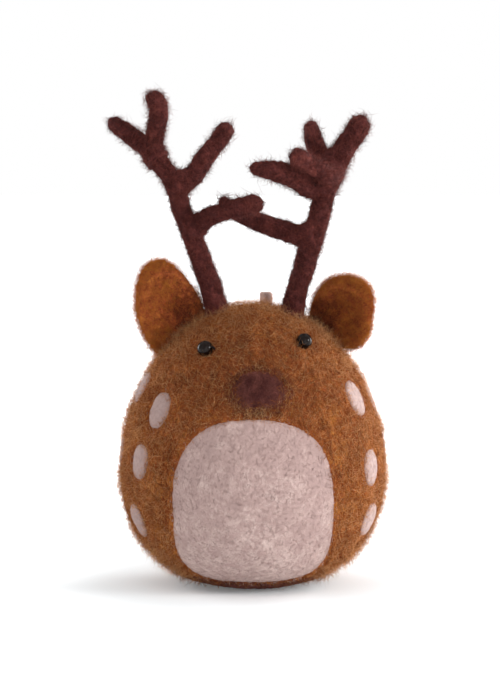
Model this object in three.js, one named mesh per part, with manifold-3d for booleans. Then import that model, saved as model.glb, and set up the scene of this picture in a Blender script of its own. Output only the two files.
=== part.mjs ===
// A felted wool deer ornament: a round ball on a small flat foot, with antlers wrapped on wire, cupped ears,
// bead eyes on one thread, a nose pad, a belly patch, spots and a hanging loop that lies down the back.
// Millimetres, +Z up, the face looks along -Y, and "left" is the side of -X. The origin is under the ball's
// axis, on the plane that the ball stands on.
import * as THREE from 'three';
import { mergeVertices } from 'three/addons/utils/BufferGeometryUtils.js';
import Module from 'manifold-3d';

const wasm = await Module();
wasm.setup();

// Between pieces that touch, and how far a cutter runs past what it cuts
const clearance = 0.3;
const overrun = 2;

// The ball: an egg of revolution, widest at the belt, cut flat where it stands
const ballRadius = 32.9;
const beltHeight = 28.7;
const crownRise = 41.5;
const footCut = 0.5;
const crownPower = 1.94;
const footPower = 2.28;
const skinThickness = 5;

// Places on the ball are shares of the sizes that they follow: across and forward are shares of its radius, a
// rise is a share of the crown's rise above the belt, and a drop is a share of the belt's height.

// Belly patch, seen from the front. Its top is a rise and its foot is a drop.
const patchHalfWidth = 19.5;
const patchTopShare = 0.382;
const patchFootShare = 0.892;
const patchThickness = 1.2;
const patchPower = 2.55;
const patchFootPower = 3.5;

// Nose pad
const noseShares = [0.045, 0.547];
const noseHalfWidth = 6.7;
const noseHalfHeight = 5;
const noseProud = 2.2;
const noseSeat = 1;
const nosePower = 2.4;
const noseEdgeShare = 0.96;

// Bead eyes and the thread that holds both
const eyeLeftShares = [-0.341, 0.755];
const eyeRightShares = [0.366, 0.792];
const beadRadius = 1.95;
const beadBoreRadius = 0.6;
const beadSeat = 0.9;
const threadRadius = 0.24;
const stitchReach = 1;
const stitchDepth = 4;
const threadKnotRadius = 0.8;
const threadCrossShares = [0, -0.27, 0.5];
const threadKnotGap = 3;
const eyeTilt = THREE.MathUtils.degToRad(20);

// Ears: cupped leaves, set into the skin. Each leans out and turns from its root on the crown. Its edge is an
// oval times a sum of waves: shares of the cosine and sine of 0, 1, 2, 3 and 4 times the angle round it.
const earThickness = 3.4;
const earCupDepth = 3;
const earSeat = 2.6;
const ears = {
  left: {
    rootShares: [-0.574, -0.045],
    rise: 7.5,
    halfWidth: 8.1,
    halfLength: 12,
    lean: 0.28,
    turn: 0.25,
    edgeWaves: [[1.02, 0], [-0.026, -0.037], [-0.023, -0.018], [0.018, -0.042], [0, -0.016]],
  },
  right: {
    rootShares: [0.568, 0],
    rise: 6.6,
    halfWidth: 8.2,
    halfLength: 10,
    lean: -0.62,
    turn: -0.4,
    edgeWaves: [[0.98, 0], [-0.044, 0.033], [0.025, -0.004], [0.027, -0.028], [0.004, -0.031]],
  },
};
const earCupShift = 3;
const earRimShare = 0.93;
const earRimPower = 6;

// Antlers: felted wool on wire
const antlerSpread = 25;
const antlerDepth = 12;
const antlerHeight = 52;
const antlerSeat = 3.4;
const flareRadius = 0.2;
const flareLength = 4;
const beamWireRadius = 0.45;
const tineWireRadius = 0.35;
const wireSeat = 15;
const wireTipInset = 3;
const wireLap = 5;
const wireLapShares = [1, 0.65, 0.3];
const wireBendShare = 0.25;

// The two antlers. A route's points are shares of the spread, depth and height, counted from the antler's base,
// and a tine leaves its beam at fromShare of the beam's length.
const antlers = {
  left: {
    baseShares: [-0.273, -0.03],
    stemRadius: 2.6,
    tipRadius: 2.2,
    swell: -0.1,
    routeShares: [
      [-0.05, 0, 0.106],
      [-0.13, 0, 0.216],
      [-0.218, 0, 0.326],
      [-0.29, 0, 0.417],
      [-0.352, 0, 0.5],
      [-0.4, 0, 0.584],
      [-0.48, 0, 0.656],
      [-0.585, -0.05, 0.73],
      [-0.622, -0.09, 0.804],
      [-0.6, -0.17, 0.875],
      [-0.572, -0.3, 0.95],
      [-0.59, -0.42, 1],
      [-0.665, -0.5, 1.04],
    ],
    tines: {
      outer: {
        fromShare: 0.7,
        rootRadius: 2.3,
        tipRadius: 1.85,
        swell: 0,
        routeShares: [
          [-0.685, 0.05, 0.779],
          [-0.785, 0.15, 0.817],
          [-0.916, 0.25, 0.862],
          [-1.075, 0.34, 0.912],
        ],
      },
      inner: {
        fromShare: 0.585,
        rootRadius: 2.3,
        tipRadius: 2.1,
        swell: 0,
        routeShares: [
          [-0.245, 0.08, 0.65],
          [-0.115, 0.21, 0.74],
          [0.02, 0.33, 0.817],
          [0.12, 0.44, 0.895],
        ],
      },
      brow: {
        fromShare: 0.395,
        rootRadius: 2.3,
        tipRadius: 2.15,
        swell: 0,
        routeShares: [
          [-0.15, -0.08, 0.437],
          [-0.003, -0.3, 0.471],
          [0.21, -0.45, 0.502],
          [0.46, -0.57, 0.525],
        ],
      },
    },
  },
  right: {
    baseShares: [0.299, -0.03],
    stemRadius: 2.4,
    tipRadius: 2.55,
    swell: 0.15,
    routeShares: [
      [0.049, 0, 0.118],
      [0.121, 0.04, 0.223],
      [0.173, 0.08, 0.313],
      [0.226, 0.12, 0.397],
      [0.276, 0.16, 0.483],
      [0.316, 0.2, 0.564],
      [0.376, 0.25, 0.635],
      [0.432, 0.29, 0.704],
      [0.515, 0.33, 0.783],
      [0.62, 0.37, 0.85],
      [0.716, 0.42, 0.94],
    ],
    tines: {
      fore: {
        fromShare: 0.65,
        rootRadius: 2.1,
        tipRadius: 1.5,
        swell: 0.85,
        routeShares: [
          [0.176, 0.06, 0.6],
          [0.062, -0.25, 0.645],
          [-0.088, -0.5, 0.672],
          [-0.236, -0.667, 0.688],
          [-0.424, -0.8, 0.698],
        ],
      },
      front: {
        fromShare: 0.72,
        rootRadius: 2.1,
        tipRadius: 2.2,
        swell: 0,
        routeShares: [
          [0.35, -0.2, 0.66],
          [0.156, -0.62, 0.715],
          [-0.004, -1, 0.765],
        ],
      },
      upper: {
        fromShare: 0.765,
        rootRadius: 2.7,
        tipRadius: 1.7,
        swell: 0,
        routeShares: [
          [0.29, 0.42, 0.72],
          [0.238, 0.5, 0.79],
          [0.2, 0.55, 0.85],
          [0.187, 0.6, 0.917],
        ],
      },
      brow: {
        fromShare: 0.42,
        rootRadius: 2.45,
        tipRadius: 2.2,
        swell: 0,
        routeShares: [
          [0.076, 0.15, 0.37],
          [-0.043, 0.25, 0.388],
          [-0.233, 0.36, 0.415],
          [-0.403, 0.42, 0.446],
          [-0.534, 0.42, 0.48],
          [-0.614, 0.42, 0.527],
        ],
      },
    },
  },
};

// Spots: tufts needled on to the skin
const spotHalfWidth = 3.7;
const spotHalfHeight = 4.6;
const spotThickness = 0.6;
const spotPower = 2.2;
const spotEdgeShare = 0.9;

// Where the spots lie: the turn from the front, as a share of a half turn, and the height, as a share of the
// ball's. Each side has its own places, as they are needled on by eye.
const spotShares = {
  left: {
    sideWay: -1,
    places: [
      [0.278, 0.652],
      [0.439, 0.709],
      [0.61, 0.675],
      [0.8, 0.66],
      [0.322, 0.467],
      [0.489, 0.48],
      [0.661, 0.455],
      [0.833, 0.47],
      [0.361, 0.251],
      [0.528, 0.262],
      [0.694, 0.248],
      [0.856, 0.258],
    ],
  },
  right: {
    sideWay: 1,
    places: [
      [0.339, 0.687],
      [0.494, 0.66],
      [0.65, 0.685],
      [0.811, 0.655],
      [0.344, 0.443],
      [0.506, 0.48],
      [0.672, 0.455],
      [0.839, 0.465],
      [0.367, 0.254],
      [0.533, 0.256],
      [0.7, 0.245],
      [0.861, 0.26],
    ],
  },
};

// Hanging loop
const cordRadius = 0.6;
const loopKnotRadius = 1.9;
const loopKnotDepth = 10;
const loopStraight = 1.8;

// How finely round things are drawn
const ballSegments = 36;
const ballSteps = 8;
const coreSegments = 20;
const coreSteps = 6;
const beamSides = 10;
const beamSteps = 13;
const beamWireSteps = 14;
const tineSides = 8;
const tineSteps = 6;
const tineWireSteps = 10;
const wireSides = 5;
const domeShares = [0.9, 0.6, 0.15];
const boreEndShare = 1.2;
const sphereRingShare = 0.6;
const beadSides = 14;
const beadSteps = 8;
const threadSides = 5;
const threadSteps = 48;
const cordSides = 8;
const loopSteps = 64;
const buriedSteps = 6;

// Materials, one for each finish
const felt = (colour) => new THREE.MeshStandardMaterial({ color: colour, roughness: 1, metalness: 0 });
const tanWool = felt(0x8a5424);
const paleWool = felt(0xc9aca4);
const darkWool = felt(0x4a2722);
const noseWool = felt(0x552d2e);
const coreWool = felt(0xd9cdb8);
const cotton = felt(0xb39d92);
const blackThread = felt(0x1c1512);
const blackGlass = new THREE.MeshStandardMaterial({ color: 0x0b0b0d, roughness: 0.12, metalness: 0 });
const steelWire = new THREE.MeshStandardMaterial({ color: 0x8d8f92, roughness: 0.4, metalness: 1 });

// A three.js geometry as a solid that can be joined and cut
function solidOf(geometry) {
  const plain = geometry.index ? geometry.toNonIndexed() : geometry.clone();
  const bare = new THREE.BufferGeometry().setAttribute('position', plain.getAttribute('position'));
  const merged = mergeVertices(bare, 1e-4);
  return new wasm.Manifold(
    new wasm.Mesh({
      numProp: 3,
      vertProperties: new Float32Array(merged.attributes.position.array),
      triVerts: new Uint32Array(merged.index.array),
    }),
  );
}

// A solid as a three.js geometry
function geometryOf(solid) {
  const mesh = solid.getMesh();
  const geometry = new THREE.BufferGeometry();
  geometry.setAttribute('position', new THREE.BufferAttribute(new Float32Array(mesh.vertProperties), 3));
  geometry.setIndex(new THREE.BufferAttribute(new Uint32Array(mesh.triVerts), 1));
  return geometry.toNonIndexed();
}

const cutAll = (solid, cutters) => cutters.reduce((left, cutter) => left.subtract(cutter), solid);

// A closed geometry from rings of points that all have as many points. The first and last rings are closed by
// a fan to their own centre point, so a ring may be as small as it likes but not a single point.
function loft(rings) {
  const sides = rings[0].length;
  const last = rings.length - 1;
  const centreOf = (ring) => ring.reduce((sum, p) => sum.add(p), new THREE.Vector3()).divideScalar(sides);
  const points = [...rings.flat(), centreOf(rings[0]), centreOf(rings[last])];
  const faces = [];
  for (let k = 0; k < sides; k += 1) {
    const next = (k + 1) % sides;
    for (let ring = 0; ring < last; ring += 1) {
      const here = ring * sides;
      const there = here + sides;
      faces.push(here + k, here + next, there + next, here + k, there + next, there + k);
    }
    faces.push(points.length - 2, next, k);
    faces.push(points.length - 1, last * sides + k, last * sides + next);
  }
  const geometry = new THREE.BufferGeometry().setFromPoints(points);
  geometry.setIndex(faces);
  return geometry;
}

// Half of the egg's outline: radius at a height above or below the belt, for an egg grown by lift
function eggRadius(rise, lift) {
  const reach = (rise > 0 ? crownRise : beltHeight + footCut) + lift;
  const power = rise > 0 ? crownPower : footPower;
  return (ballRadius + lift) * (1 - (Math.abs(rise) / reach) ** power) ** (1 / power);
}

// The egg as a lathe, shrunk by inset. Only the outer egg is cut flat at the foot.
function egg(inset, segments, steps) {
  const outline = [];
  const belowBelt = beltHeight + footCut - inset;
  const floorAngle = inset > 0 ? Math.PI / 2 : Math.asin((beltHeight / belowBelt) ** (footPower / 2));
  for (let i = 0; i <= steps; i += 1) {
    const angle = -floorAngle * (1 - i / steps);
    const radius = (ballRadius - inset) * Math.cos(angle) ** (2 / footPower);
    const drop = belowBelt * Math.abs(Math.sin(angle)) ** (2 / footPower);
    outline.push(new THREE.Vector2(radius, beltHeight - drop));
  }
  if (inset > 0) outline[0].x = 0;
  else outline.unshift(new THREE.Vector2(0, outline[0].y));
  for (let i = 1; i <= steps; i += 1) {
    const angle = ((Math.PI / 2) * i) / steps;
    const radius = i < steps ? (ballRadius - inset) * Math.cos(angle) ** (2 / crownPower) : 0;
    const rise = (crownRise - inset) * Math.sin(angle) ** (2 / crownPower);
    outline.push(new THREE.Vector2(radius, beltHeight + rise));
  }
  return new THREE.LatheGeometry(outline, segments).rotateX(Math.PI / 2);
}

const beltCentre = new THREE.Vector3(0, 0, beltHeight);

// The point of the egg, grown by lift, that lies from the belt's centre towards a place
function onEgg(place, lift) {
  const way = place.clone().sub(beltCentre);
  const reach = (way.z > 0 ? crownRise : beltHeight + footCut) + lift;
  const power = way.z > 0 ? crownPower : footPower;
  const round = (Math.hypot(way.x, way.y) / (ballRadius + lift)) ** power;
  const scale = (round + (Math.abs(way.z) / reach) ** power) ** (-1 / power);
  return way.multiplyScalar(scale).add(beltCentre);
}

// The point of the egg's front at a distance across and a rise from the belt, as seen along +Y
function onFront(x, rise, lift) {
  return new THREE.Vector3(x, -Math.sqrt(eggRadius(rise, lift) ** 2 - x ** 2), beltHeight + rise);
}

// The same, from shares
const onFrontAt = ([acrossShare, riseShare]) => onFront(ballRadius * acrossShare, crownRise * riseShare, 0);

// The point of the crown above a place in plan
function onCrown(x, y) {
  const round = (Math.hypot(x, y) / ballRadius) ** crownPower;
  return new THREE.Vector3(x, y, beltHeight + crownRise * (1 - round) ** (1 / crownPower));
}

// The same, from shares
const onCrownAt = ([acrossShare, backShare]) => onCrown(ballRadius * acrossShare, ballRadius * backShare);

// Outward, sideways and upward directions of the egg's surface at a point of it
function surfaceFrame(point) {
  const rise = point.z - beltHeight;
  const reach = rise > 0 ? crownRise : beltHeight + footCut;
  const power = rise > 0 ? crownPower : footPower;
  const round = Math.hypot(point.x, point.y);
  const outPull = (round / ballRadius) ** (power - 1) / ballRadius;
  const upPull = (Math.sign(rise) * (Math.abs(rise) / reach) ** (power - 1)) / reach;
  const out = new THREE.Vector3((point.x / round) * outPull, (point.y / round) * outPull, upPull).normalize();
  const side = new THREE.Vector3(0, 0, 1).cross(out).normalize();
  return { out, side, up: out.clone().cross(side) };
}

// A superellipse outline, point k of count, at a share of its size. Its lower half has a power of its own.
function superellipse(k, count, halfWidth, halfHeight, topPower, lowPower) {
  const angle = (2 * Math.PI * k) / count;
  const [c, s] = [Math.cos(angle), Math.sin(angle)];
  const power = s < 0 ? lowPower : topPower;
  const across = Math.sign(c) * Math.abs(c) ** (2 / power) * halfWidth;
  const along = Math.sign(s) * Math.abs(s) ** (2 / power) * halfHeight;
  return [across, along];
}

// A closed pad that lies along the egg. place(across, along, lift) gives its points, floor is the lift of its
// underside, and top(share) the lift of its face from the middle (0) to the edge (1).
function pad({ place, halfWidth, halfHeight, power, lowPower = power, floor, top, spokes, shares }) {
  const ringAt = (share, lift) =>
    Array.from({ length: spokes }, (_, k) => {
      const size = [halfWidth * share, halfHeight * share];
      const [across, along] = superellipse(k, spokes, ...size, power, lowPower);
      return place(across, along, lift);
    });
  const face = shares.map((share) => ringAt(share, top(share)));
  const underside = shares.map((share) => ringAt(share, floor));
  return loft([...underside, ...face.reverse()]);
}

// How a pad around one point of the egg is placed: flat in the tangent plane, then drawn on to the egg
function around(point) {
  const { side, up } = surfaceFrame(point);
  return (across, along, lift) =>
    onEgg(point.clone().addScaledVector(side, across).addScaledVector(up, along), lift);
}

// A round limb along a curve, with its radius at each length along it, grown all round by grow. Its far end is
// domed, and its near end, which is buried in what carries it, is flat.
function limb({ curve, radiusAt, sides, steps }, grow) {
  const length = curve.getLength();
  const far = radiusAt(length) + grow;
  const end = length + grow - far;
  const stations = [];
  for (let i = 0; i <= steps; i += 1) {
    const s = -grow + ((end + grow) * i) / steps;
    stations.push([s, radiusAt(THREE.MathUtils.clamp(s, 0, length)) + grow]);
  }
  domeShares.forEach((share) => stations.push([end + far * Math.sqrt(1 - share ** 2), far * share]));
  const normal = new THREE.Vector3(0, 1, 0);
  const rings = stations.map(([s, radius]) => {
    const u = THREE.MathUtils.clamp(s / length, 0, 1);
    const tangent = curve.getTangentAt(u);
    const centre = curve.getPointAt(u).addScaledVector(tangent, s - u * length);
    normal.addScaledVector(tangent, -normal.dot(tangent)).normalize();
    const across = tangent.clone().cross(normal);
    return Array.from({ length: sides }, (_, k) => {
      const angle = (2 * Math.PI * k) / sides;
      return centre
        .clone()
        .addScaledVector(normal, radius * Math.cos(angle))
        .addScaledVector(across, radius * Math.sin(angle));
    });
  });
  return loft(rings);
}

// A plain round tube along a curve, for wires, thread and cord
function tube(curve, radius, sides, steps) {
  const section = new THREE.Shape(
    Array.from({ length: sides }, (_, k) => {
      const angle = (2 * Math.PI * k) / sides;
      return new THREE.Vector2(radius * Math.cos(angle), radius * Math.sin(angle));
    }),
  );
  return new THREE.ExtrudeGeometry(section, { steps, bevelEnabled: false, extrudePath: curve });
}

// The hole that a tube lies in: the same tube grown by clearance, with a slightly wider ball at both ends
function bore(curve, radius, sides, steps) {
  const hole = radius + clearance;
  const ball = (u) => sphere(curve.getPointAt(u), hole * boreEndShare, sides);
  return solidOf(tube(curve, hole, sides, steps)).add(ball(0)).add(ball(1));
}

function sphere({ x, y, z }, radius, sides) {
  const rings = Math.ceil(sides * sphereRingShare);
  return solidOf(new THREE.SphereGeometry(radius, sides, rings).translate(x, y, z));
}

const curveThrough = (points) => new THREE.CatmullRomCurve3(points, false, 'centripetal');

// The wool and wire of one antler. Every solid of it is cut clear of the ones that carry it.
function antlerSolids({ baseShares, stemRadius, tipRadius, swell, routeShares, tines }) {
  const base = onCrownAt(baseShares);
  const reach = new THREE.Vector3(antlerSpread, antlerDepth, antlerHeight);
  const placed = (shares) => shares.map((share) => new THREE.Vector3(...share).multiply(reach).add(base));
  const route = placed(routeShares);
  const inward = base.clone().sub(route[0]).normalize();
  const beamCurve = curveThrough([base.clone().addScaledVector(inward, antlerSeat), base, ...route]);
  const beamLength = beamCurve.getLength();
  const beamRadiusAt = (s) => {
    const flare = flareRadius * Math.exp(-((Math.max(0, s - antlerSeat) / flareLength) ** 2));
    return tapered(stemRadius, tipRadius, swell, s / beamLength) + flare;
  };
  const wireRoot = base.clone().addScaledVector(inward, wireSeat);
  const wireCurve = curveThrough([wireRoot, ...middleOf(beamCurve, 0, beamSteps)]);
  const beamLimb = { curve: beamCurve, radiusAt: beamRadiusAt, sides: beamSides, steps: beamSteps };
  const wires = { beam: { curve: wireCurve, radius: beamWireRadius, steps: beamWireSteps } };
  const wool = { beam: beamLimb };
  Object.entries(tines).forEach(([name, tine]) => {
    const root = beamCurve.getPointAt(tine.fromShare);
    const curve = curveThrough([root, ...placed(tine.routeShares)]);
    const length = curve.getLength();
    const radiusAt = (s) => tapered(tine.rootRadius, tine.tipRadius, tine.swell, s / length);
    wool[name] = { curve, radiusAt, sides: tineSides, steps: tineSteps };
    const wire = tineWireCurve(beamCurve, tine.fromShare, curve);
    wires[name] = { curve: wire, radius: tineWireRadius, steps: tineWireSteps };
  });
  const bores = Object.values(wires).map(({ curve, radius, steps }) => bore(curve, radius, wireSides, steps));
  const solids = {};
  const carriers = [];
  Object.entries(wool).forEach(([name, shape]) => {
    solids[name] = cutAll(solidOf(limb(shape, 0)), [...carriers, ...bores]);
    carriers.push(solidOf(limb(shape, clearance)));
  });
  const wireSolids = Object.fromEntries(
    Object.entries(wires).map(([name, { curve, radius, steps }]) =>
      [name, solidOf(tube(curve, radius, wireSides, steps))]),
  );
  return { solids, wireSolids, socket: carriers[0], bores };
}

// A radius that runs from one value to another, and swells on the way
function tapered(rootRadius, tipRadius, swell, share) {
  return THREE.MathUtils.lerp(rootRadius, tipRadius, share) + swell * Math.sin(Math.PI * share);
}

// Points along the middle of a limb, from a share of its length to where its wire stops short of the tip
function middleOf(curve, startShare, count) {
  const endShare = 1 - wireTipInset / curve.getLength();
  return Array.from({ length: count + 1 }, (_, i) =>
    curve.getPointAt(THREE.MathUtils.lerp(startShare, endShare, i / count)));
}

// A tine's wire: it lies alongside the beam's wire for wireLap, then bends out along the tine
function tineWireCurve(beamCurve, fromShare, tineCurve) {
  const length = beamCurve.getLength();
  const along = beamCurve.getTangentAt(fromShare);
  const root = beamCurve.getPointAt(fromShare);
  const outward = tineCurve.getPointAt(wireBendShare).sub(root);
  outward.addScaledVector(along, -outward.dot(along)).normalize();
  const apart = beamWireRadius + tineWireRadius + clearance;
  const lap = wireLapShares.map((share) =>
    beamCurve.getPointAt(fromShare - (wireLap * share) / length).addScaledVector(outward, apart));
  return curveThrough([...lap, ...middleOf(tineCurve, wireBendShare, tineSteps)]);
}

// An ear: a leaf in its own plane, cupped, with a round rim. grow makes the socket that it sits in.
function ear({ rootShares, rise, halfWidth, halfLength, lean, turn, edgeWaves }, grow) {
  const spokes = 18;
  const shares = [0.25, 0.5, 0.75, earRimShare];
  const half = earThickness / 2 + grow;
  const edgeAt = (k, more) => {
    const angle = (2 * Math.PI * k) / spokes;
    const wave = ([c, s], i) => c * Math.cos(i * angle) + s * Math.sin(i * angle);
    const size = edgeWaves.map(wave).reduce((sum, value) => sum + value, 0);
    return [(halfWidth * size + more) * Math.cos(angle), (halfLength * size + more) * Math.sin(angle)];
  };
  const cupAt = (k, share) => {
    const [across, along] = edgeAt(k, 0).map((reach) => reach * share);
    return earCupDepth * Math.max(0, 1 - Math.hypot(across / halfWidth, (along + earCupShift) / halfLength) ** 2);
  };
  const sheet = (face) =>
    shares.map((share) =>
      Array.from({ length: spokes }, (_, k) => {
        const [across, along] = edgeAt(k, grow).map((reach) => reach * share);
        const thick = half * Math.sqrt(1 - (share * earRimShare) ** earRimPower);
        return new THREE.Vector3(across, cupAt(k, share) - face * thick, along);
      }));
  const rim = Array.from({ length: spokes }, (_, k) => {
    const [across, along] = edgeAt(k, grow);
    return new THREE.Vector3(across, cupAt(k, 1), along);
  });
  const root = onCrownAt(rootShares);
  const pose = new THREE.Matrix4()
    .makeTranslation(root.x, root.y, root.z)
    .multiply(new THREE.Matrix4().makeRotationZ(turn))
    .multiply(new THREE.Matrix4().makeRotationY(-lean))
    .multiply(new THREE.Matrix4().makeTranslation(0, 0, rise));
  return loft([...sheet(-1), rim, ...sheet(1).reverse()]).applyMatrix4(pose);
}

// A bead eye's place: its seat on the skin, its centre, and the way its bore runs
function eyeFrame(shares) {
  const seat = onFrontAt(shares);
  const { out, side, up } = surfaceFrame(seat);
  const bore = side.multiplyScalar(Math.cos(eyeTilt)).addScaledVector(up, Math.sin(eyeTilt));
  return { seat, out, bore, centre: seat.clone().addScaledVector(out, beadRadius - beadSeat) };
}

// A round bead with a bore through it
function bead({ centre, bore }) {
  const mouthAngle = Math.asin(beadBoreRadius / beadRadius);
  const outline = Array.from({ length: beadSteps + 1 }, (_, i) => {
    const angle = mouthAngle + ((Math.PI - 2 * mouthAngle) * i) / beadSteps;
    return new THREE.Vector2(beadRadius * Math.sin(angle), -beadRadius * Math.cos(angle));
  });
  outline.push(outline[0].clone());
  const turn = new THREE.Quaternion().setFromUnitVectors(new THREE.Vector3(0, 1, 0), bore);
  const upright = new THREE.LatheGeometry(outline, beadSides);
  return upright.applyQuaternion(turn).translate(centre.x, centre.y, centre.z);
}

// The thread's points at one eye, from one side of the bead to the other
function stitch({ seat, out, bore, centre }) {
  const foot = beadRadius + stitchReach;
  const sideOf = (way) => [
    seat.clone().addScaledVector(bore, way * foot).addScaledVector(out, -stitchDepth),
    seat.clone().addScaledVector(bore, way * foot),
    centre.clone().addScaledVector(bore, way * (beadRadius + clearance)),
  ];
  return [...sideOf(-1), centre.clone(), ...sideOf(1).reverse()];
}

const group = new THREE.Group();

function addPiece(name, shape, material) {
  const geometry = shape.isBufferGeometry ? shape : geometryOf(shape);
  geometry.computeVertexNormals();
  const mesh = new THREE.Mesh(geometry, material);
  mesh.name = name;
  group.add(mesh);
}

// Eyes and their thread
const eyes = [eyeFrame(eyeLeftShares), eyeFrame(eyeRightShares)];
const beadSeats = eyes.map(({ centre }) => sphere(centre, beadRadius + clearance, beadSides));
const threadCrossing = new THREE.Vector3(...threadCrossShares)
  .multiply(new THREE.Vector3(ballRadius, ballRadius, crownRise))
  .add(beltCentre);
const threadEnds = [-1, 1].map((way) =>
  threadCrossing.clone().add(new THREE.Vector3(way * threadKnotGap, threadKnotGap, -threadKnotGap)));
const stitches = [...stitch(eyes[0]), threadCrossing, ...stitch(eyes[1])];
const threadCurve = curveThrough([threadEnds[0], ...stitches, threadEnds[1]]);
const threadBores = [
  bore(threadCurve, threadRadius, threadSides, threadSteps),
  ...threadEnds.map((end) => sphere(end, threadKnotRadius + clearance, cordSides)),
];
const threadSolid = threadEnds.reduce(
  (solid, end) => solid.add(sphere(end, threadKnotRadius, cordSides)),
  solidOf(tube(threadCurve, threadRadius, threadSides, threadSteps)),
);

// Hanging loop: the free cord's route, chosen by hand. It leaves the crown, falls down the back, turns and
// comes back up beside itself.
const loopRoute = [
  [2.55, 5.1, 69.9],
  [2.55, 5.8, 70.9],
  [2.5, 7.4, 72.1],
  [2.45, 9.6, 71.6],
  [2.35, 12.6, 69.3],
  [2.2, 16.3, 65.9],
  [2.0, 20.7, 62.3],
  [1.7, 25.0, 57.5],
  [1.3, 28.6, 51.8],
  [0.9, 31.3, 46.0],
  [0.4, 33.15, 39.8],
  [-0.2, 34.15, 34.2],
  [-0.8, 34.5, 28.0],
  [-1.2, 34.6, 22.5],
  [-1.3, 34.5, 18.4],
  [-0.5, 34.4, 15.1],
  [2.1, 34.3, 13.6],
  [4.7, 34.4, 15.1],
  [5.5, 34.5, 18.4],
  [5.5, 34.6, 22.5],
  [5.3, 34.5, 28.0],
  [5.0, 33.9, 34.2],
  [4.8, 32.9, 39.8],
  [4.7, 31.1, 46.0],
  [4.5, 28.4, 51.8],
  [4.4, 24.7, 57.5],
  [4.3, 20.4, 62.3],
  [4.25, 16.0, 65.9],
  [4.2, 12.3, 69.3],
  [4.2, 9.5, 71.6],
  [4.2, 7.4, 72.1],
  [4.25, 5.8, 70.9],
  [4.25, 5.1, 69.9],
];
const loopPoints = loopRoute.map((point) => new THREE.Vector3(...point));
const loopCurve = curveThrough(loopPoints);

// The cord's two buried ends, and the knot that they are tied in under the skin
const loopEnds = [loopPoints[0], loopPoints[loopPoints.length - 1]];
const loopMiddle = loopEnds[0].clone().add(loopEnds[1]).divideScalar(2);
const knotCentre = onCrown(loopMiddle.x, loopMiddle.y).sub(new THREE.Vector3(0, 0, loopKnotDepth));
const buriedCurve = (end, endIndex) => {
  const tangent = loopCurve.getTangentAt(endIndex).multiplyScalar(endIndex === 0 ? -1 : 1);
  const start = end.clone().addScaledVector(tangent, clearance);
  return new THREE.CatmullRomCurve3([start, start.clone().addScaledVector(tangent, loopStraight),
    new THREE.Vector3(end.x, knotCentre.y, knotCentre.z)]);
};
const buriedCurves = loopEnds.map(buriedCurve);
const loopAnchor = buriedCurves.reduce(
  (solid, curve) => solid.add(solidOf(tube(curve, cordRadius, cordSides, buriedSteps))),
  sphere(knotCentre, loopKnotRadius, cordSides));
const loopBores = [
  ...buriedCurves.map((curve) => bore(curve, cordRadius, cordSides, buriedSteps)),
  sphere(knotCentre, loopKnotRadius + clearance, cordSides),
];

// Patch and nose: pads let into the skin. Grown by clearance they cut their own pockets.
const patchTop = crownRise * patchTopShare;
const patchFoot = -beltHeight * patchFootShare;
const patchSolid = (grow, lift) =>
  solidOf(pad({
    place: (across, along, high) => onFront(across, (patchTop + patchFoot) / 2 + along, high),
    halfWidth: patchHalfWidth + grow,
    halfHeight: (patchTop - patchFoot) / 2 + grow,
    power: patchPower,
    lowPower: patchFootPower,
    floor: -patchThickness - grow,
    top: () => lift,
    spokes: 28,
    shares: [0.3, 0.6, 0.85, 1],
  }));
const noseSolid = (grow) =>
  solidOf(pad({
    place: around(onFrontAt(noseShares)),
    halfWidth: noseHalfWidth + grow,
    halfHeight: noseHalfHeight + grow,
    power: nosePower,
    floor: -noseSeat - grow,
    top: (share) => (noseProud + grow) * Math.sqrt(1 - noseEdgeShare * share ** 2),
    spokes: 16,
    shares: [0.35, 0.7, 0.9, 1],
  }));

// Antlers
const made = Object.fromEntries(Object.entries(antlers).map(([side, sizes]) => [side, antlerSolids(sizes)]));
const antlerCutters = Object.values(made).flatMap(({ socket, bores }) => [socket, bores[0]]);

// Ears, trimmed where they meet the bottom of their sockets
const earFloor = solidOf(egg(earSeat, ballSegments, ballSteps));
const earSockets = Object.values(ears).map((sizes) =>
  solidOf(ear(sizes, clearance)).subtract(solidOf(egg(earSeat + clearance, ballSegments, ballSteps))));

// Ball: a core of loose wool, and the coloured skin felted round it
const outerBall = solidOf(egg(0, ballSegments, ballSteps));
const hollow = solidOf(egg(skinThickness, coreSegments, coreSteps));
const innerBall = solidOf(egg(skinThickness + clearance, coreSegments, coreSteps));
const pockets = [hollow, patchSolid(clearance, overrun), noseSolid(clearance), ...beadSeats, ...earSockets];
const passages = [...antlerCutters, ...threadBores, ...loopBores];
addPiece('core_ball', cutAll(innerBall, passages), coreWool);
addPiece('felt_skin', cutAll(outerBall, [...pockets, ...passages]), tanWool);
addPiece('belly_patch', patchSolid(0, 0), paleWool);
addPiece('nose_pad', noseSolid(0), noseWool);
Object.entries(ears).forEach(([side, sizes]) => {
  addPiece('ear_' + side, solidOf(ear(sizes, 0)).subtract(earFloor), tanWool);
});

// Eyes
addPiece('eye_left', bead(eyes[0]), blackGlass);
addPiece('eye_right', bead(eyes[1]), blackGlass);
addPiece('eye_thread', threadSolid, blackThread);

// Antlers, wool first and then the wire inside it
Object.entries(made).forEach(([side, { solids, wireSolids }]) => {
  Object.entries(solids).forEach(([name, solid]) => {
    const label = name === 'beam' ? 'beam' : 'tine_' + name;
    addPiece('antler_' + side + '_' + label, solid, darkWool);
    addPiece('antler_' + side + '_' + label + '_wire', wireSolids[name], steelWire);
  });
});

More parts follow.
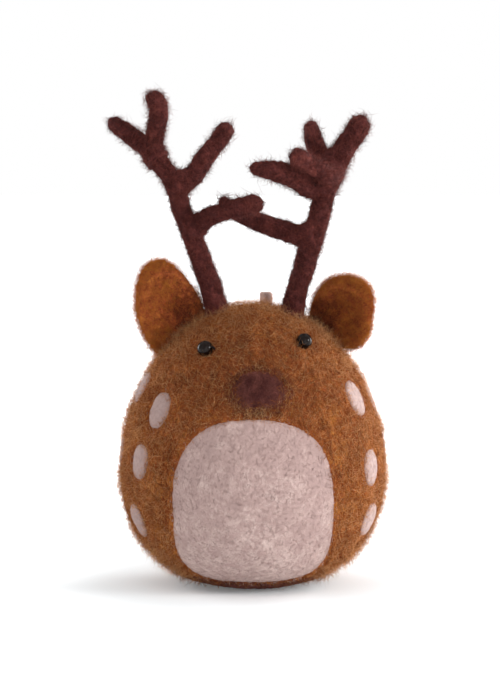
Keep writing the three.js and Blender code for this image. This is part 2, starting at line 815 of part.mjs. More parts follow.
// Spots round the sides and back
const spotPlace = (sideWay, [turnShare, heightShare]) => {
  const turn = sideWay * Math.PI * turnShare;
  const height = heightShare * (beltHeight + crownRise);
  const radius = eggRadius(height - beltHeight, 0);
  return new THREE.Vector3(radius * Math.sin(turn), -radius * Math.cos(turn), height);
};
Object.entries(spotShares).forEach(([side, { sideWay, places }]) => {
  places.forEach((place, i) => {
    const spot = pad({
      place: around(spotPlace(sideWay, place)),
      halfWidth: spotHalfWidth,
      halfHeight: spotHalfHeight,
      power: spotPower,
      floor: clearance,
      top: (share) => clearance + spotThickness * Math.sqrt(1 - spotEdgeShare * share ** 2),
      spokes: 10,
      shares: [0.55, 1],
    });
    addPiece('spot_' + side + '_' + (i + 1), spot, paleWool);
  });
});

// Hanging loop
addPiece('hang_loop', tube(loopCurve, cordRadius, cordSides, loopSteps), cotton);
addPiece('loop_anchor', loopAnchor, cotton);

export default group;
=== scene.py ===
"""A hanging christmas ornament of felted wool, a round deer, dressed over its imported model.

Shapes are worked out in millimetres, with the face towards -Y and the foot's middle at the origin, and are
stored in metres. Each wool piece is a surface of two parameters with an uneven face, and fine fibres on it.
"""

import math
from typing import NamedTuple

import bpy
import numpy as np
from bpy.props import FloatProperty, FloatVectorProperty, IntProperty, PointerProperty
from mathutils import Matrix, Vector


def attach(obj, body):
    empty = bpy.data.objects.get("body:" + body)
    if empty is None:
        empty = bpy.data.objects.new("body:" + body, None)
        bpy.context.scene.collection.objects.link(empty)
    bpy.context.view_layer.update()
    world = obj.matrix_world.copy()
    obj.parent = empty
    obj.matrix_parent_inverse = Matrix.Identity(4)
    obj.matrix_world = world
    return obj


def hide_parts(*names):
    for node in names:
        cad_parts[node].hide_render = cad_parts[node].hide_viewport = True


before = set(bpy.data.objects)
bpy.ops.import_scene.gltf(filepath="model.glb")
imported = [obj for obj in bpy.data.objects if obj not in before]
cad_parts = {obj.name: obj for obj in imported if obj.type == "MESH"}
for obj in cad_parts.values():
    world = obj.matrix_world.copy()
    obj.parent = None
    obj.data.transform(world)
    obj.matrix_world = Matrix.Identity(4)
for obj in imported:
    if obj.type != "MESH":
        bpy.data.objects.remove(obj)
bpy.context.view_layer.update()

bl_info = {
    "name": "Felt deer ornament",
    "version": (1, 0, 0),
    "blender": (4, 5, 0),
    "location": "View3D > Sidebar > Felt deer",
    "description": "Makes a felted wool deer ornament and its stage, one kind of piece at a time",
    "category": "Object",
}

MM = 0.001
TAU = 2 * math.pi

# The camera: its lens and the width of its sensor, how far it is from what it looks at, and how steeply it
# looks down
CAMERA_LENS = 144
CAMERA_SENSOR = 36
CAMERA_DISTANCE = 700
CAMERA_RISE = math.radians(5)
CAMERA_TARGET = (-0.74, 0, 58.76)

# Lamps: the place and the size in metres, and the power in watts. All point at one target.
LAMP_TARGET = (0, 0, 0.05)
LAMPS = {
    "key": ((0.92, -0.38, 0.32), 0.34, 6.2),
    "fill": ((-0.7, -0.65, 0.3), 0.6, 0.3),
    "low": ((0.2, -0.95, 0.04), 0.5, 1.4),
    "front": ((0.36, -0.82, 0.46), 0.4, 0.7),
    "top": ((0.15, 0.1, 1.0), 0.6, 0.3),
    "back": ((-0.8, 0.6, 0.25), 0.6, 6.0),
    "rim": ((0.8, 0.6, 0.2), 0.6, 12.0),
}

# How strongly the white world lights the ornament, and the floor: half its side in metres, and its own
# glow, which grows from the least to full white between two distances from the ornament's middle. Wool
# keeps the clearance above it.
WORLD_LIGHT = 0.66
FLOOR_REACH = 3.0
GLOW_LEAST = 0.12
GLOW_FROM = 38
GLOW_TO = 120
FLOOR_CLEARANCE = 0.04

# The two antlers. A route's points are shares of the spread, depth and height, counted from the antler's
# base. A tine has its start, a share of the beam's length, its radius at the root and at the tip, how much
# it swells between them, and its route. The tuft is a wisp that stands on a tine. The flare, the web and
# the skirt are wool that gathers at the foot of a beam, at the root of a tine and where an antler meets the
# ball: how much, and how far it reaches.
TUFT_RADIUS = 0.95
BEAM_FLARE = (0.2, 4)
TINE_WEB = (0.9, 2.2)
TINE_WEB_START = 1.5
ANTLER_SKIRT = (0.9, 0.7)
ANTLERS = {
    "left": {
        "base": (-0.273, -0.03),
        "stem": 2.6,
        "tip": 2.2,
        "tuft": ((0.02, -0.35, 0.528), (0.075, -0.36, 0.536), (0.13, -0.37, 0.538)),
        "swell": -0.1,
        "route": [
            (-0.05, 0, 0.106), (-0.13, 0, 0.216), (-0.218, 0, 0.326), (-0.29, 0, 0.417), (-0.352, 0, 0.5),
            (-0.4, 0, 0.584), (-0.48, 0, 0.656), (-0.585, -0.05, 0.73), (-0.622, -0.09, 0.804),
            (-0.6, -0.17, 0.875), (-0.572, -0.3, 0.95), (-0.59, -0.42, 1), (-0.665, -0.5, 1.04),
        ],
        "tines": {
            "outer": (0.7, 2.3, 1.85, 0, [
                (-0.685, 0.05, 0.779), (-0.785, 0.15, 0.817), (-0.916, 0.25, 0.862), (-1.075, 0.34, 0.912),
            ]),
            "inner": (0.585, 2.3, 2.1, 0, [
                (-0.245, 0.08, 0.65), (-0.115, 0.21, 0.74), (0.02, 0.33, 0.817), (0.12, 0.44, 0.895),
            ]),
            "brow": (0.395, 2.3, 2.15, 0, [
                (-0.15, -0.08, 0.437), (-0.003, -0.3, 0.471), (0.21, -0.45, 0.502), (0.46, -0.57, 0.525),
            ]),
        },
    },
    "right": {
        "base": (0.299, -0.03),
        "stem": 2.4,
        "tip": 2.55,
        "swell": 0.15,
        "route": [
            (0.049, 0, 0.118), (0.121, 0.04, 0.223), (0.173, 0.08, 0.313), (0.226, 0.12, 0.397),
            (0.276, 0.16, 0.483), (0.316, 0.2, 0.564), (0.376, 0.25, 0.635), (0.432, 0.29, 0.704),
            (0.515, 0.33, 0.783), (0.62, 0.37, 0.85), (0.716, 0.42, 0.94),
        ],
        "tines": {
            "fore": (0.65, 2.1, 1.5, 0.85, [
                (0.176, 0.06, 0.6), (0.062, -0.25, 0.645), (-0.088, -0.5, 0.672), (-0.236, -0.667, 0.688),
                (-0.424, -0.8, 0.698),
            ]),
            "front": (0.72, 2.1, 2.2, 0, [(0.35, -0.2, 0.66), (0.156, -0.62, 0.715), (-0.004, -1, 0.765)]),
            "upper": (0.765, 2.7, 1.7, 0, [
                (0.29, 0.42, 0.72), (0.238, 0.5, 0.79), (0.2, 0.55, 0.85), (0.187, 0.6, 0.917),
            ]),
            "brow": (0.42, 2.45, 2.2, 0, [
                (0.076, 0.15, 0.37), (-0.043, 0.25, 0.388), (-0.233, 0.36, 0.415), (-0.403, 0.42, 0.446),
                (-0.534, 0.42, 0.48), (-0.614, 0.42, 0.527),
            ]),
        },
    },
}

# Ears: where the root is on the crown in shares of the ball's radius, the rise of the leaf's middle, its
# half width and half length, how far it leans out and how far it turns. The edge is an oval times a sum of
# waves: shares of the cosine and sine of 0, 1, 2, 3 and 4 times the angle round it. The hollow is where the
# cup's colour is darkest, a painted shade partly over darker wool, in shares of the half width and half
# length, and by how much. The cup's middle is dropped below the leaf's.
CUP_DROP = 3
EARS = {
    "left": {
        "root": (-0.574, -0.045), "rise": 7.5, "wide": 8.1, "long": 12, "lean": 0.28, "turn": 0.25,
        "edge": [(1.02, 0), (-0.026, -0.037), (-0.023, -0.018), (0.018, -0.042), (0, -0.016)],
        "hollow": (0.62, -0.35, 0.21),
    },
    "right": {
        "root": (0.568, 0), "rise": 6.6, "wide": 8.2, "long": 10, "lean": -0.62, "turn": -0.4,
        "edge": [(0.98, 0), (-0.044, 0.033), (0.025, -0.004), (0.027, -0.028), (0.004, -0.031)],
        "hollow": (-0.55, -0.5, 0.42),
    },
}

# Eyes and nose: across, as a share of the ball's radius, and up from the belt, as a share of the crown's
# rise
EYES = {"left": (-0.341, 0.755), "right": (0.366, 0.792)}
EYE_TILT = math.radians(20)
NOSE = (0.045, 0.547)

# Spots: the turn from the front, as a share of a half turn, and the height, as a share of the ball's
SPOTS = {
    "left": [
        (0.278, 0.652), (0.439, 0.709), (0.61, 0.675), (0.8, 0.66), (0.322, 0.467), (0.489, 0.48),
        (0.661, 0.455), (0.833, 0.47), (0.361, 0.251), (0.528, 0.262), (0.694, 0.248), (0.856, 0.258),
    ],
    "right": [
        (0.339, 0.687), (0.494, 0.66), (0.65, 0.685), (0.811, 0.655), (0.344, 0.443), (0.506, 0.48),
        (0.672, 0.455), (0.839, 0.465), (0.367, 0.254), (0.533, 0.256), (0.7, 0.245), (0.861, 0.26),
    ],
}
SIDES = {"left": -1, "right": 1}

# The loop's route: out of the crown, down the back, round and up again beside itself
LOOP_ROUTE = [
    (2.55, 5.1, 69.9), (2.55, 5.8, 70.9), (2.5, 7.4, 72.1), (2.45, 9.6, 71.6), (2.35, 12.6, 69.3),
    (2.2, 16.3, 65.9), (2.0, 20.7, 62.3), (1.7, 25.0, 57.5), (1.3, 28.6, 51.8), (0.9, 31.3, 46.0),
    (0.4, 33.15, 39.8), (-0.2, 34.15, 34.2), (-0.8, 34.5, 28.0), (-1.2, 34.6, 22.5), (-1.3, 34.5, 18.4),
    (-0.5, 34.4, 15.1), (2.1, 34.3, 13.6), (4.7, 34.4, 15.1), (5.5, 34.5, 18.4), (5.5, 34.6, 22.5),
    (5.3, 34.5, 28.0), (5.0, 33.9, 34.2), (4.8, 32.9, 39.8), (4.7, 31.1, 46.0), (4.5, 28.4, 51.8),
    (4.4, 24.7, 57.5), (4.3, 20.4, 62.3), (4.25, 16.0, 65.9), (4.2, 12.3, 69.3), (4.2, 9.5, 71.6),
    (4.2, 7.4, 72.1), (4.25, 5.8, 70.9), (4.25, 5.1, 69.9),
]

# How far a cord and a thread run for one turn of their strands, and the steps between their rings. The knot
# of the cord is so deep under the crown.
CORD_PITCH = 2.4
CORD_STEP = 0.22
THREAD_PITCH = 1.1
THREAD_STEP = 0.12
KNOT_DEPTH = 10

# Outlines of the nose and spots: powers of |across| and |along|. The nose's pocket is squarer than its pad.
NOSE_POWER = 2.3
NOSE_POCKET_POWER = 2.4
SPOT_POWER = 2.2

# Steps at the edge of what is let into the ball: a height, and how far inside the edge the step starts and
# ends. The pocket is how deep the skin lies under the piece, the tuck is how deep the skin's fibres are
# drawn in there, and the proud step is how far the fringe's fibres ride up. The skin's fibres stop so far
# inside the edge. Two of the steps raise the fringe. The spot shade is how much lighter the spots of a side
# are: the left ones are darker, a painted shade of that side.
STEPS = {
    "patch": {"pocket": (1.35, 0.2, 0.8), "tuck": (1.2, -0.05, 0.5), "proud": (0.22, 0, 0.5)},
    "nose": {"pocket": (1.15, 0.3, 1.2), "tuck": (0.8, 1.2, 2.2)},
    "spot": {"pocket": (0.3, 0.1, 0.7), "tuck": (0.7, 0.1, 0.8), "proud": (0.34, 0, 0.7)},
}
RAISING = ("pocket", "proud")
FIBRES_STOP = {"patch": 0, "nose": 1.5, "spot": 0.15}
PAINTED_SPOT_SHADE = {"left": -0.13, "right": 0}

# The gap between a bead and its seat, the width of the lip of its bore, and the distance that stands for
# places nowhere near an edge
BEAD_ROOM = 0.12
BEAD_LIP = 0.12
FAR_OFF = -99.0

# Where the ball's colour is darker: towards the foot between two heights, partly the dark red wool there and
# partly painted shade under the ball; and in places on the front, each with its middle, how far it reaches
# across and up, and how dark it is: a little over the face, and below the nose a painted shadow of the nose.
# Dark red wool grows at the foot between two heights. The chin's pale strands have a middle and a reach
# across, and heights where they begin and end.
FOOT_DARKENING_AND_PAINTED_SHADE_HEIGHTS = (4.0, 2.2)
FOOT_DARKENING_AND_PAINTED_SHADE_AMOUNT = 0.45
FACE_DARKENING_AND_PAINTED_NOSE_SHADOW = ((0, 54, 17, 11, 0.16), (1, 46, 5, 1.6, 0.2))
FOOT_WOOL = (4.0, 2.6)
CHIN = ((0.2, 3.4), (43.2, 44.6), (48, 46))

# Lumps of felt: their size and their share of the felt's unevenness, for the ball and pads and for the
# antlers
FELT_GRAIN = ((14, 0.9), (5, 0.5), (2.1, 0.45), (0.95, 0.4))
ANTLER_GRAIN = ((3.2, 0.1), (1.5, 0.07), (0.8, 0.045))

# Wools: what each is, and the screen colours of its dark, middle and light fibres
WOOLS = {
    "tan": ("the body's wool", (94, 43, 21), (152, 78, 36), (206, 136, 66)),
    "haze": ("the body's loose fibres", (122, 69, 39), (192, 130, 80), (240, 198, 149)),
    "ear": ("the ears' wool", (98, 36, 26), (190, 99, 55), (214, 142, 62)),
    "pale": ("the wool of patch and spots", (156, 130, 126), (180, 152, 146), (222, 198, 190)),
    "dark": ("the antlers' wool", (42, 14, 14), (80, 35, 33), (134, 68, 58)),
    "nose": ("the nose's wool", (66, 28, 26), (98, 49, 44), (142, 86, 76)),
}
SHADES = ("dark", "middle", "light")


class Coat(NamedTuple):
    """A coat of fibres: the ranges of their length, thickness and lift in millimetres, the share that stray
    off the surface and how far those rise, how much a fibre bends, and how much they differ in shade. combed
    is the share that run one way, up or lengthwise, and loose how far those stray from it. wobble is how
    unsteady a fibre is, flecks the share of dark ones, paler how much lighter the whole coat is, and
    stations the number of points along a fibre."""

    length: tuple
    thick: tuple
    lift: tuple
    strays: float
    rise: tuple
    bend: float
    contrast: float
    combed: float = 0.4
    loose: float = 0.35
    lengthwise: bool = False
    wobble: float = 0.07
    flecks: float = 0
    paler: float = 0
    stations: int = 4


COATS = {
    "body_wool": Coat((2.6, 6.5), (0.045, 0.08), (0.02, 0.15), 0.1, (0.1, 0.6), 0.25, 0.15),
    "body_nap": Coat((2.2, 5), (0.035, 0.06), (0.04, 0.2), 0.2, (0.2, 0.7), 0.35, 0.18),
    # The fuzz is paler, painted light that makes the outline glow
    "body_fuzz": Coat(
        (1.6, 3.8), (0.02, 0.034), (0.4, 1.5), 0.75, (0.8, 3.0), 0.6, 0.16,
        combed=0.2, wobble=0.08, paler=0.12, stations=3,
    ),
    "body_down": Coat(
        (0.9, 2.4), (0.026, 0.044), (0.3, 1.2), 0.4, (0.5, 1.8), 0.7, 0.2, combed=0.1, wobble=0.08
    ),
    "tan_fringe": Coat(
        (0.5, 1.5), (0.024, 0.04), (0.05, 0.2), 0.3, (0.1, 0.4), 0.4, 0.12,
        combed=0.3, wobble=0.08, paler=0.12, stations=3,
    ),
    "foot": Coat((1.2, 3.4), (0.04, 0.08), (0.1, 0.5), 0.2, (0.1, 0.5), 0.4, 0.2, combed=0, paler=0.3),
    "chin": Coat((1.5, 3.5), (0.035, 0.06), (0.2, 0.5), 0.2, (0.1, 0.6), 0.25, 0.15, combed=0.85, loose=0.3),
    "patch": Coat(
        (1.2, 3.2), (0.02, 0.038), (0.01, 0.05), 0.04, (0.1, 0.4), 0.2, 0.07,
        combed=0.6, flecks=0.03, stations=3,
    ),
    "spot": Coat((1.0, 2.8), (0.02, 0.036), (0.0, 0.05), 0.3, (0.1, 0.45), 0.3, 0.05, combed=0.5, stations=3),
    "nose_nap": Coat((1.2, 3.6), (0.03, 0.065), (0.02, 0.2), 0.3, (0.2, 0.9), 0.4, 0.13, combed=0),
    "nose_edge": Coat(
        (0.8, 2.4), (0.025, 0.045), (0.1, 0.35), 0.5, (0.1, 0.7), 0.4, 0.15, combed=0, paler=0.1
    ),
    "nose_tan": Coat((1.0, 3.0), (0.03, 0.055), (0.1, 0.35), 0.4, (0.1, 0.6), 0.4, 0.15, combed=0.3),
    "ear_wool": Coat((1.6, 4.2), (0.035, 0.06), (0.02, 0.2), 0.4, (0.2, 0.9), 0.35, 0.18),
    "ear_haze": Coat(
        (1.0, 2.8), (0.022, 0.036), (0.3, 1.3), 0.7, (0.6, 2.5), 0.7, 0.16,
        combed=0.1, wobble=0.08, paler=0.08, stations=3,
    ),
    "antler_nap": Coat(
        (2, 6), (0.03, 0.065), (0.0, 0.16), 0.15, (0.2, 0.8), 0.3, 0.16,
        combed=0.7, loose=0.5, lengthwise=True,
    ),
    "antler_down": Coat(
        (0.8, 2.4), (0.03, 0.046), (0.1, 0.4), 1, (0.5, 1.9), 0.5, 0.15,
        combed=0.1, wobble=0.12, paler=0.06, stations=3,
    ),
    "antler_strays": Coat(
        (1.6, 5), (0.024, 0.038), (0.1, 0.45), 1, (0.8, 2.8), 0.5, 0.2, wobble=0.2, paler=0.15
    ),
    "cord_legs": Coat(
        (0.7, 1.8), (0.025, 0.04), (0.02, 0.12), 0.8, (0.15, 0.7), 0.6, 0.15,
        combed=0.5, lengthwise=True, wobble=0.05, paler=0.2,
    ),
    "cord_matted": Coat(
        (1.0, 2.4), (0.03, 0.05), (0.0, 0.25), 0.7, (0.2, 0.9), 0.6, 0.15,
        combed=0.5, lengthwise=True, wobble=0.06, paler=0.2,
    ),
}
COATS["pale_fringe"] = COATS["tan_fringe"]._replace(paler=0.4)

# How a fibre arches over the wool and dips in at both ends, and how thick it is, at shares of its length
FIBRE_SHARES = (0, 0.25, 0.5, 0.75, 1)
FIBRE_ARCH = (-1.2, 0.7, 1, 0.8, -1.2)
FIBRE_TAPER = (0, 0.9, 1, 0.75, 0)


class Dome(NamedTuple):
    """How far a pad is lifted over the ball, at a distance inside its edge. Its face is at edge + rise * (1
    - (1 - inside / reach) ** power) ** root, and its underside at edge less the step under."""

    edge: float
    rise: float
    reach: float
    power: float
    root: float
    under: tuple


PATCH_DOME = Dome(-0.28, 0.5, 0.7, 2.5, 0.5, (0.85, 0.6, 1.5))
SPOT_DOME = Dome(-0.12, 0.62, 2.2, 2, 0.5, (0.1, 0.3, 1.2))
NOSE_EDGE = -0.25
NOSE_UNDER = (0.7, 0.8, 2.0)


def length_of(name, about, default):
    """A length in metres that the user may change."""
    return FloatProperty(name=name, description=about, default=default, unit="LENGTH", min=0, precision=5)


def power_of(name, about, default):
    """A power that the user may change: the higher it is, the squarer the outline."""
    return FloatProperty(name=name, description=about, default=default, min=1)


def count_of(name, about, default):
    """A number of fibres that the user may change."""
    return IntProperty(name=name, description=about, default=default, min=1)


def colour_of(name, about, values):
    """A colour that the user may change, from its 0 to 255 screen values."""
    return FloatVectorProperty(
        name=name, description=about, subtype="COLOR", size=3, min=0, max=1, default=linear(values)
    )


def linear(values):
    """Linear light from 0 to 255 screen values: s / 12.92 when low, else ((s + 0.055) / 1.055) ** 2.4."""
    shares = [value / 255 for value in values]
    return tuple(s / 12.92 if s <= 0.04045 else ((s + 0.055) / 1.055) ** 2.4 for s in shares)


class FeltDeerBall(bpy.types.PropertyGroup):
    """The round body."""

    radius: length_of("Radius", "Half the width of the ball at its belt", 0.0329)
    belt_height: length_of("Belt height", "Where the ball is widest, above the floor", 0.0287)
    crown_rise: length_of("Crown rise", "From the belt to the crown", 0.0415)
    foot_cut: length_of("Foot cut", "How much of the egg the flat foot takes off", 0.0005)
    crown_power: power_of("Crown power", "Roundness above the belt", 1.94)
    foot_power: power_of("Foot power", "Roundness below the belt", 2.28)
    skin: length_of("Skin", "Thickness of the coloured wool", 0.005)
    gap: length_of("Gap", "Between the coloured skin and the core", 0.0003)
    lump: length_of("Lumps", "Height of the felt's unevenness", 0.00008)
    fibres: count_of("Fibres", "What the ball's four layers of fibres are shares of", 16000)


class FeltDeerTrim(bpy.types.PropertyGroup):
    """The patch, nose, spots, eyes and loop."""

    patch_wide: length_of("Patch half width", "Half the width of the belly patch", 0.0195)
    patch_top: length_of("Patch top", "Height of the patch's top edge", 0.04455)
    patch_foot: length_of("Patch foot", "Height of the patch's lower edge", 0.0031)
    patch_power: power_of("Patch power", "Squareness of the patch's top", 2.55)
    foot_power: power_of("Foot power", "Squareness of the patch's foot", 3.5)
    nose_wide: length_of("Nose half width", "Half the width of the nose", 0.0067)
    nose_high: length_of("Nose half height", "Half the height of the nose", 0.005)
    nose_proud: length_of("Nose proud", "How far the nose stands out of the face", 0.0022)
    spot_wide: length_of("Spot half width", "Half the width of a spot", 0.0037)
    spot_high: length_of("Spot half height", "Half the height of a spot", 0.0046)
    bead: length_of("Bead radius", "Radius of the bead eyes", 0.00195)
    bead_bore: length_of("Bead bore", "Radius of the hole through a bead", 0.0006)
    bead_seat: length_of("Bead seat", "How deep a bead sits in the wool", 0.0009)
    thread: length_of("Thread", "Radius of the thread that holds the beads", 0.00024)
    cord: length_of("Cord", "Diameter of the hanging loop's cord", 0.0012)


class FeltDeerAntler(bpy.types.PropertyGroup):
    """The antlers and the ears."""

    spread: length_of("Spread", "What the antler routes' sideways shares are of", 0.025)
    depth: length_of("Depth", "What the antler routes' front to back shares are of", 0.012)
    height: length_of("Height", "What the antler routes' upward shares are of", 0.052)
    seat: length_of("Seat", "How far an antler runs into the ball", 0.0034)
    grain: length_of("Grain", "The finest step of the antlers' wool", 0.00028)
    fibres: count_of("Fibres", "Fibres on each antler", 10500)
    ear_thick: length_of("Ear thickness", "Thickness of an ear's felt", 0.0034)
    ear_cup: length_of("Ear cup", "How deep an ear is cupped", 0.003)
    ear_fibres: count_of("Ear fibres", "Fibres on each ear", 9000)


class FeltDeerColours(bpy.types.PropertyGroup):
    """The colours of the wool, cord and thread."""

    core: colour_of("Core", "The loose wool inside", (216, 202, 178))
    cord: colour_of("Cord", "The hanging loop", (224, 200, 192))
    thread: colour_of("Thread", "The thread of the eyes", (30, 22, 20))
    floor: colour_of("Floor", "The floor and the background", (246, 251, 253))


for wool, (what, *colours) in WOOLS.items():
    for shade, values in zip(SHADES, colours):
        FeltDeerColours.__annotations__[wool + "_" + shade] = colour_of(
            wool.title() + ", " + shade, "The " + shade + " colour of " + what, values
        )


# Working out shapes


def mm(metres):
    """Metres as millimetres."""
    return metres / MM


def unit(vectors):
    """Vectors divided by their own lengths."""
    return vectors / np.maximum(np.linalg.norm(vectors, axis=-1, keepdims=True), 1e-12)


def ease(low, high, values):
    """3 t ** 2 - 2 t ** 3, where t runs from 0 at low to 1 at high."""
    t = np.clip((values - low) / (high - low), 0, 1)
    return t * t * (3 - 2 * t)


def step_in(step, inside):
    """A height, eased in between two distances inside an edge."""
    height, start, end = step
    return height * ease(start, end, inside)


def bell(offset, reach):
    """exp(-(offset / reach) ** 2), which is 1 at no offset and falls off to both sides."""
    return np.exp(-((offset / reach) ** 2))


def lumps(points, size, seed, waves=22):
    """Unevenness with a spread of 1: the sum of plane waves about size long in random directions, times the
    square root of 2 over their number."""
    draw = np.random.default_rng(seed)
    lengths = size * draw.uniform(0.75, 1.3, (waves, 1))
    ways = unit(draw.normal(size=(waves, 3))) * TAU / lengths
    return np.cos(points @ ways.T + draw.uniform(0, TAU, waves)).sum(-1) * math.sqrt(2 / waves)


def felt_face(points, height, seed, grain=FELT_GRAIN):
    """The felt's unevenness: the sum of lumps of several sizes, each with its share of the height."""
    return sum(height * share * lumps(points, size, seed + k) for k, (size, share) in enumerate(grain))


def squared(across, along, power):
    """(|across| ** power + |along| ** power) ** (1 / power), which is 1 on a rounded square outline."""
    return (np.abs(across) ** power + np.abs(along) ** power) ** (1 / power)


def curve_through(points, steps=40):
    """A smooth line through points: a cubic between each two, whose end slopes come from the neighbours with
    knots a square root of their distances apart."""
    p = np.asarray(points, float)
    p = np.concatenate([[2 * p[0] - p[1]], p, [2 * p[-1] - p[-2]]])
    gap = np.linalg.norm(np.diff(p, axis=0), axis=1)[:, None] ** 0.5
    before, own, after = gap[:-2], gap[1:-1], gap[2:]
    a, b, c, d = p[:-3], p[1:-2], p[2:-1], p[3:]
    leave = ((b - a) / before - (c - a) / (before + own) + (c - b) / own) * own
    arrive = ((c - b) / own - (d - b) / (own + after) + (d - c) / after) * own
    t = np.linspace(0, 1, steps, endpoint=False)[:, None, None]
    line = b + leave * t + (3 * (c - b) - 2 * leave - arrive) * t**2 + (2 * (b - c) + leave + arrive) * t**3
    return np.concatenate([line.transpose(1, 0, 2).reshape(-1, 3), p[-2:-1]])


def lengths_along(line):
    """The distance along a line at each of its points."""
    return np.concatenate([[0], np.cumsum(np.linalg.norm(np.diff(line, axis=0), axis=1))])


def at_lengths(line, wanted):
    """The points of a line at the wanted distances along it."""
    along = lengths_along(line)
    return np.stack([np.interp(wanted, along, line[:, k]) for k in range(3)], -1)


def evenly(line, count):
    """A line again, as count points at even distances."""
    return at_lengths(line, np.linspace(0, lengths_along(line)[-1], count))


def carried_frame(line):
    """The direction along a line, a normal carried along it without twist, and the direction across."""
    along = unit(np.gradient(line, axis=0))
    normals = np.empty_like(along)
    normal = np.array([0.0, 1.0, 0.0])
    for k, way in enumerate(along):
        normal = unit(normal - way * (normal @ way))
        normals[k] = normal
    return along, normals, np.cross(along, normals)


def ring_grid(line, radius, sides, twist=0.0):
    """Rings round a line: centre + radius * (normal * cos(angle) + across * sin(angle))."""
    _, normal, across = carried_frame(line)
    angle = np.linspace(0, TAU, sides, endpoint=False) + np.broadcast_to(twist, len(line))[:, None]
    reach = np.broadcast_to(radius, (len(line), sides))[..., None]
    ways = normal[:, None] * np.cos(angle)[..., None] + across[:, None] * np.sin(angle)[..., None]
    return line[:, None] + reach * ways


def between_rings(rows, columns, closed=False):
    """The quads between the rings of a grid that closes round its columns, and if closed round its rows
    too."""
    row, column = np.meshgrid(np.arange(rows if closed else rows - 1), np.arange(columns), indexing="ij")
    here, there = row * columns, (row + 1) % rows * columns
    beside = (column + 1) % columns
    return np.stack([here + column, here + beside, there + beside, there + column], -1).reshape(-1, 4)


def capped(grid):
    """A closed form from a grid of rings: its points, the quads between its rings, and a fan at each end."""
    rows, columns = grid.shape[:2]
    points = np.concatenate([grid.reshape(-1, 3), grid[:1].mean(1), grid[-1:].mean(1)])
    column = np.arange(columns)
    beside = (column + 1) % columns
    first, last = np.full(columns, rows * columns), np.full(columns, rows * columns + 1)
    top = (rows - 1) * columns
    fans = [np.stack([beside, column, first], -1), np.stack([top + column, top + beside, last], -1)]
    return points, between_rings(rows, columns), np.concatenate(fans)


def joined(forms):
    """Several forms of points, quads and triangles as one."""
    starts = np.cumsum([0] + [len(points) for points, _, _ in forms])
    points = np.concatenate([form[0] for form in forms])
    quads = np.concatenate([form[1].reshape(-1, 4) + start for form, start in zip(forms, starts)])
    triangles = np.concatenate([form[2].reshape(-1, 3) + start for form, start in zip(forms, starts)])
    return points, quads, triangles


def turned_in(form):
    """A form with its faces turned round, for the wall of a hollow."""
    points, quads, triangles = form
    return points, quads[:, ::-1], triangles[:, ::-1]


class Egg:
    """The ball: rings of radius (R + lift) * (1 - (|rise| / (reach + lift)) ** power) ** (1 / power), where
    rise is counted from the belt, and reach and power are the crown's above it and the foot's below it."""

    def __init__(self, sizes):
        self.radius, self.belt = mm(sizes.radius), mm(sizes.belt_height)
        self.crown, self.foot = mm(sizes.crown_rise), mm(sizes.belt_height + sizes.foot_cut)
        self.crown_power, self.foot_power = sizes.crown_power, sizes.foot_power

    def half(self, rise):
        """The reach and the power of the half that a rise is in."""
        above = rise > 0
        return np.where(above, self.crown, self.foot), np.where(above, self.crown_power, self.foot_power)

    def radius_at(self, rise, lift=0.0):
        """The radius of the ring at a rise."""
        reach, power = self.half(rise)
        inside = np.maximum(1 - (np.abs(rise) / (reach + lift)) ** power, 0)
        return (self.radius + lift) * inside ** (1 / power)

    def front(self, across, rise, lift=0.0):
        """The front's point at a distance across and a rise, as seen along +Y."""
        back = np.sqrt(np.maximum(self.radius_at(rise, lift) ** 2 - across**2, 0))
        return np.stack(np.broadcast_arrays(across, -back, self.belt + rise), -1)

    def towards(self, places, lift=0.0):
        """The egg's points that lie from the belt's middle towards places."""
        way = places - np.array([0, 0, self.belt])
        reach, power = self.half(way[..., 2])
        flat = np.hypot(way[..., 0], way[..., 1]) / (self.radius + lift)
        scale = (flat**power + (np.abs(way[..., 2]) / (reach + lift)) ** power) ** (-1 / power)
        return way * scale[..., None] + np.array([0, 0, self.belt])

    def crown_at(self, x, y):
        """The crown's point over a place in plan."""
        inside = 1 - (math.hypot(x, y) / self.radius) ** self.crown_power
        return np.array([x, y, self.belt + self.crown * inside ** (1 / self.crown_power)])

    def frame_at(self, point):
        """The outward, sideways and upward directions at one point of the egg."""
        rise = point[2] - self.belt
        reach, power = (float(x) for x in self.half(rise))
        flat = math.hypot(point[0], point[1])
        pull = (flat / self.radius) ** (power - 1) / self.radius / flat
        up = math.copysign((abs(rise) / reach) ** (power - 1) / reach, rise)
        out = unit(np.array([point[0] * pull, point[1] * pull, up]))
        side = unit(np.cross((0, 0, 1), out))
        return out, side, np.cross(out, side)

    def outline(self, inset=0.0, corner=1.6):
        """Radius and height from the middle of the foot to the crown, at even steps, with the foot's corner
        rounded by a running mean. An inset egg has no flat foot."""
        floor = -math.pi / 2
        if inset == 0:
            floor = -math.asin((self.belt / self.foot) ** (self.foot_power / 2))
        low, high = np.linspace(floor, 0, 1500, endpoint=False), np.linspace(0, math.pi / 2, 1500)
        radius = (self.radius - inset) * np.concatenate(
            [np.cos(low) ** (2 / self.foot_power), np.maximum(np.cos(high), 0) ** (2 / self.crown_power)]
        )
        height = self.belt + np.concatenate(
            [
                -(self.foot - inset) * np.abs(np.sin(low)) ** (2 / self.foot_power),
                (self.crown - inset) * np.sin(high) ** (2 / self.crown_power),
            ]
        )
        radius, height = np.concatenate([[0], radius]), np.concatenate([height[:1], height])
        line = evenly(np.stack([radius, 0 * radius, height], -1), 2400)
        reach = int(corner / lengths_along(line)[1])
        start, end = line[reach:0:-1] * (-1, 1, 1), line[-2 : -2 - reach : -1] * (-1, 1, 1)
        longer = np.concatenate([start, line, end])
        window = np.ones(2 * reach + 1) / (2 * reach + 1)
        return [np.convolve(longer[:, k], window, "valid") for k in (0, 2)]


